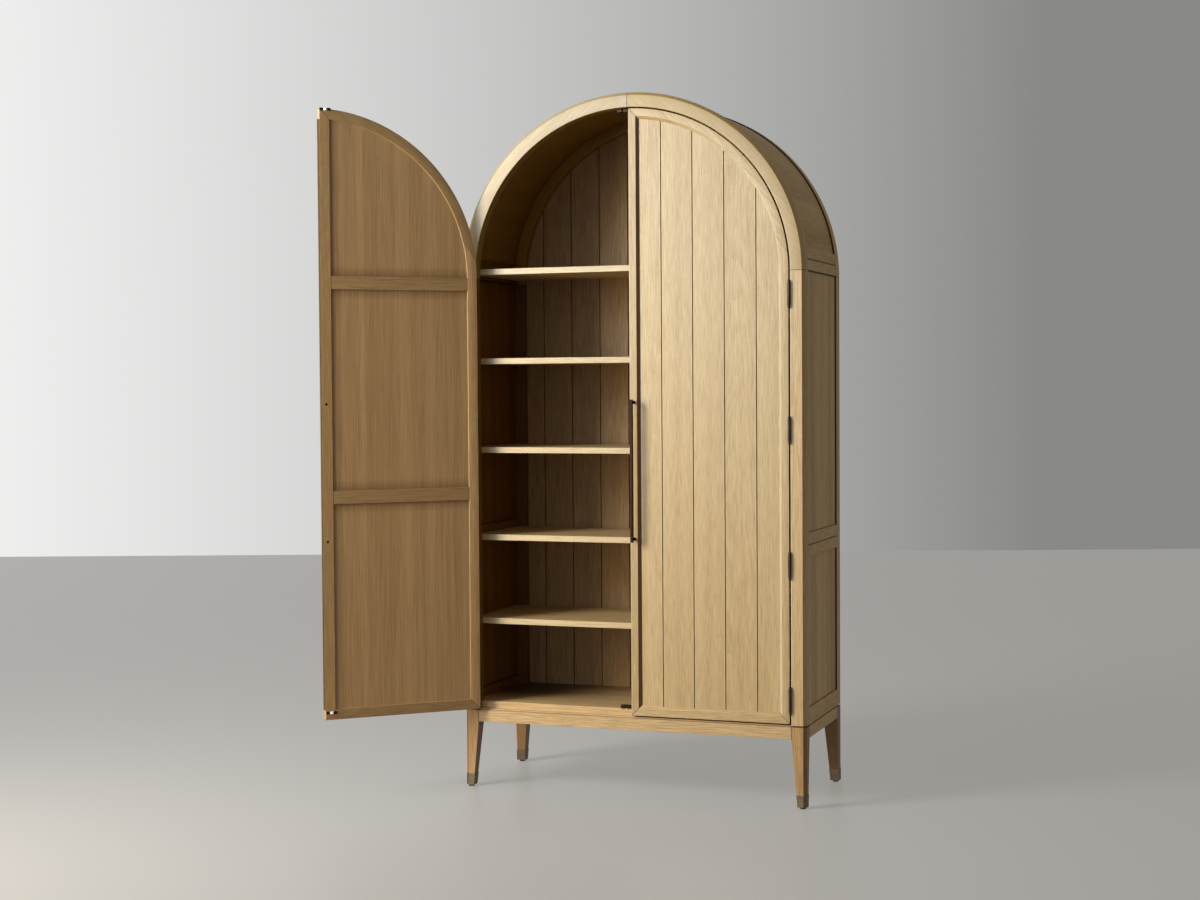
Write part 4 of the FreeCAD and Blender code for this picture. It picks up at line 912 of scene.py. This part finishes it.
def screwHead(radius):
    # height = dome, less a dip where the point is within an arm's width of either axis and inside the arm's reach
    profile = np.array(screwLook["rows"])
    first, second, height = turned(profile * (1.0, screwLook["height"]), 32)
    near = np.minimum(np.abs(first), np.abs(second))
    dip = np.clip((screwLook["armWidth"] - near) / 0.05, 0, 1)
    dip = dip * np.clip((screwLook["armReach"] - np.hypot(first, second)) / 0.1, 0, 1)
    return first * radius, second * radius, height * (1 - screwLook["sunk"] * dip)


# Hinges: turned pins with button ends, and three screws in each leaf
hinge = {
    "x": 0.5625, "y": -0.005, "levels": (0.361, 0.8093, 1.2577, 1.706), "half": 0.038, "core": 0.0025,
    "button": [(0.0042, 0.0), (0.0042, 0.0011), (0.0031, 0.0017), (0.0029, 0.0025), (0.0037, 0.0035),
               (0.0041, 0.005), (0.0038, 0.0065), (0.0027, 0.008), (0.0011, 0.009)],
    "screw": 0.0031, "screwPlaces": ((0.015, -0.026), (0.0075, 0.0), (0.015, 0.026)),
    "frameFace": 0.563, "doorFace": 0.562,
}


def makeHinges():
    top = [(reach, hinge["half"] + height) for reach, height in hinge["button"]]
    profile = [(reach, -height) for reach, height in reversed(top)] + [(hinge["core"], -hinge["half"]),
                                                                       (hinge["core"], hinge["half"])] + top
    across, deep, up = turned(profile, 24)
    pins = [stand(sign * hinge["x"] + across, hinge["y"] + deep, level + up)
            for sign in (-1, 1) for level in hinge["levels"]]
    addPiece("hingePins", pins, "carcass", finishes["hinge_pins"], ("hinge_pins",))
    first, second, out = screwHead(hinge["screw"])
    spots = [(y, level + z) for level in hinge["levels"] for y, z in hinge["screwPlaces"]]
    frameScrews = [stand(sign * (hinge["frameFace"] - out), y + first, z + second)
                   for sign in (-1, 1) for y, z in spots]
    addScrews("frameHingeScrews", frameScrews, "carcass", "frame_hinge_leaves")
    for side in ("left", "right"):
        heads = [hang(hinge["doorFace"] + out, y + first, z + second, side) for y, z in spots]
        addScrews(side + "DoorHingeScrews", heads, side + "_door", side + "_hinge_leaves")


# Strikes: two small screws in each plate
strike = {"x": 0.025, "spread": 0.0135, "face": 0.0235, "levels": (0.3065, 2.3429), "screw": 0.0023}


def makeStrikeScrews(side):
    first, second, out = screwHead(strike["screw"])
    heads = [hang(strike["x"] + shift * strike["spread"] + first, strike["face"] + out, level + second, side)
             for level in strike["levels"] for shift in (-1, 1)]
    addScrews(side + "StrikeScrews", heads, side + "_door", side + "_strikes")


# Glides: turned black feet with a rounded rim, and the stem that goes up into the leg
glide = {"x": 0.6005, "front": 0.0145, "rear": 0.4855,
         "profile": [(0.0084, 0.0), (0.0093, 0.0002), (0.0099, 0.0009), (0.01, 0.0018), (0.01, 0.004),
                     (0.0097, 0.005), (0.009, 0.0055), (0.004, 0.0055), (0.004, 0.0315)]}


def makeGlides():
    across, deep, up = turned(glide["profile"], 40)
    for row in ("front", "rear"):
        for side, sign in sides:
            grid = stand(sign * glide["x"] + across, glide[row] + deep, up)
            addPiece("%sGlide%s" % (row, side.title()), [grid], "carcass", glideBlack,
                     ("glide_%s_%s" % (row, side),))


for side in ("left", "right"):
    makeArchRail(side)
    makeHingeStile(side)
    makePull(side)
    makeStrikeScrews(side)
makeHinges()
makeGlides()
print("doors, pulls, hinges and feet made")

# The camera, at the photograph's angle
view = {"lens": 57.975, "sensor": 36.0, "farEnd": 100.0, "place": (2.1672, -6.2012, 1.4064), "yaw": 0.3511,
        "pitch": -0.0329, "roll": -0.0066}
level = Vector((math.cos(view["yaw"]), math.sin(view["yaw"]), 0))  # to the right, and into the picture
forward = Vector((-level.y, level.x, 0))


def makeCamera():
    data = bpy.data.cameras.new("camera")
    data.lens, data.sensor_width, data.clip_end = view["lens"], view["sensor"], view["farEnd"]
    camera = newObject("camera", data)
    turn = (Matrix.Rotation(view["yaw"], 4, "Z") @ Matrix.Rotation(math.pi / 2 + view["pitch"], 4, "X")
            @ Matrix.Rotation(view["roll"], 4, "Z"))
    camera.matrix_world = Matrix.Translation(origin + Vector(view["place"])) @ turn
    bpy.context.scene.camera = camera


# Floor and light: the floor's own glow and the backdrop show to the camera and in reflections, and light nothing
studio = {
    "floorColour": (0.24, 0.238, 0.232), "floorGlow": (0.235, 0.231, 0.22), "floorRough": 0.4,
    "floorSpecular": 0.12, "floorFarDepth": 16.3, "floorReach": 40.0,
    # the backdrop is painted pale on the left and dark on the right: painted light and shade
    "backdropLeft": (0.86, 0.865, 0.855), "backdropRight": (0.25, 0.25, 0.245), "backdropSpan": (-0.3, 0.22),
    "skyTint": (1.0, 0.87, 0.74), "skyEvery": 0.13, "skyFront": 0.16, "skyRight": 0.2, "skyTop": 0.04,
}
lamps = {
    "keyHigh": {"place": (-2.4, -2.45, 2.55), "aim": (0.1, 0.0, 1.6), "size": (1.3, 1.3), "power": 119.0,
                "colour": (0.92, 0.985, 1.06)},
    "keyLow": {"place": (-2.4, -2.45, 1.25), "aim": (0.1, 0.0, 0.9), "size": (1.3, 1.1), "power": 54.0,
               "colour": (1.0, 0.74, 0.4)},
    "sheen": {"place": (-1.75, -5.2, 2.65), "aim": (0.3, 0.0, 1.9), "size": (2.6, 2.4), "power": 284.0,
              "colour": (0.92, 1.0, 0.96), "glossOnly": True},
}


def seenRays(tree, *kinds):  # 1 for rays of any of these kinds
    path = wires(newNode(tree, "LightPath"))
    seen = path["Is Camera Ray"]
    for kind in kinds:
        seen = larger(seen, path[kind])
    return seen


def makeFloor():
    eye = origin + Vector(view["place"])
    far = Vector((eye.x, eye.y, 0)) + forward * studio["floorFarDepth"]
    near = far - forward * studio["floorReach"]
    wide = level * studio["floorReach"]
    mesh = bpy.data.meshes.new("studioFloor")
    mesh.from_pydata([near - wide, near + wide, far + wide, far - wide], [], [(0, 1, 2, 3)])
    floor = newObject("studioFloor", mesh)
    material, tree, skin = newMaterial("studioFloor")
    feedAll(skin, {
        "Base Color": studio["floorColour"], "Roughness": studio["floorRough"],
        "Specular IOR Level": studio["floorSpecular"], "Emission Color": studio["floorGlow"],
        "Emission Strength": seenRays(tree, "Is Glossy Ray")})
    mesh.materials.append(material)


def makeSky():
    world = bpy.data.worlds.new("studio")
    bpy.context.scene.world = world
    world.use_nodes = True
    tree = world.node_tree
    shine = tree.nodes["Background"]
    direction = wires(newNode(tree, "TexCoord"))["Generated"]
    x, y, z = split(direction)

    def share(value, amount):
        return larger(value, 0.0) * studio[amount]

    glow = studio["skyEvery"] + share(y * -1.0, "skyFront") + share(x, "skyRight") + share(z, "skyTop")
    sky = blendColour(1.0, studio["skyTint"], join(glow, glow, glow), "MULTIPLY")
    # backdrop painted light on the left and shaded on the right
    across = remap(vectors("DOT_PRODUCT", direction, tuple(level)), *studio["backdropSpan"])
    backdrop = blendColour(across, studio["backdropLeft"], studio["backdropRight"])
    seen = seenRays(tree, "Is Glossy Ray", "Is Transmission Ray")
    feedAll(shine, {"Color": blendColour(seen, sky, backdrop), "Strength": 1.0})


def makeLamp(name, place, aim, size, power, colour, glossOnly=False):
    data = bpy.data.lights.new(name, "AREA")
    data.shape = "RECTANGLE"
    data.size, data.size_y = size
    data.energy = power
    data.color = colour
    lamp = newObject(name, data)
    lamp.location = origin + Vector(place)
    lamp.rotation_mode = "QUATERNION"
    lamp.rotation_quaternion = (Vector(aim) - Vector(place)).to_track_quat("-Z", "Y")
    lamp.visible_camera = False
    lamp.visible_diffuse = not glossOnly


makeCamera()
makeFloor()
makeSky()
for name, lamp in lamps.items():
    makeLamp(name, **lamp)
bpy.context.scene.view_settings.view_transform = "Standard"
print("camera, floor and light ready")
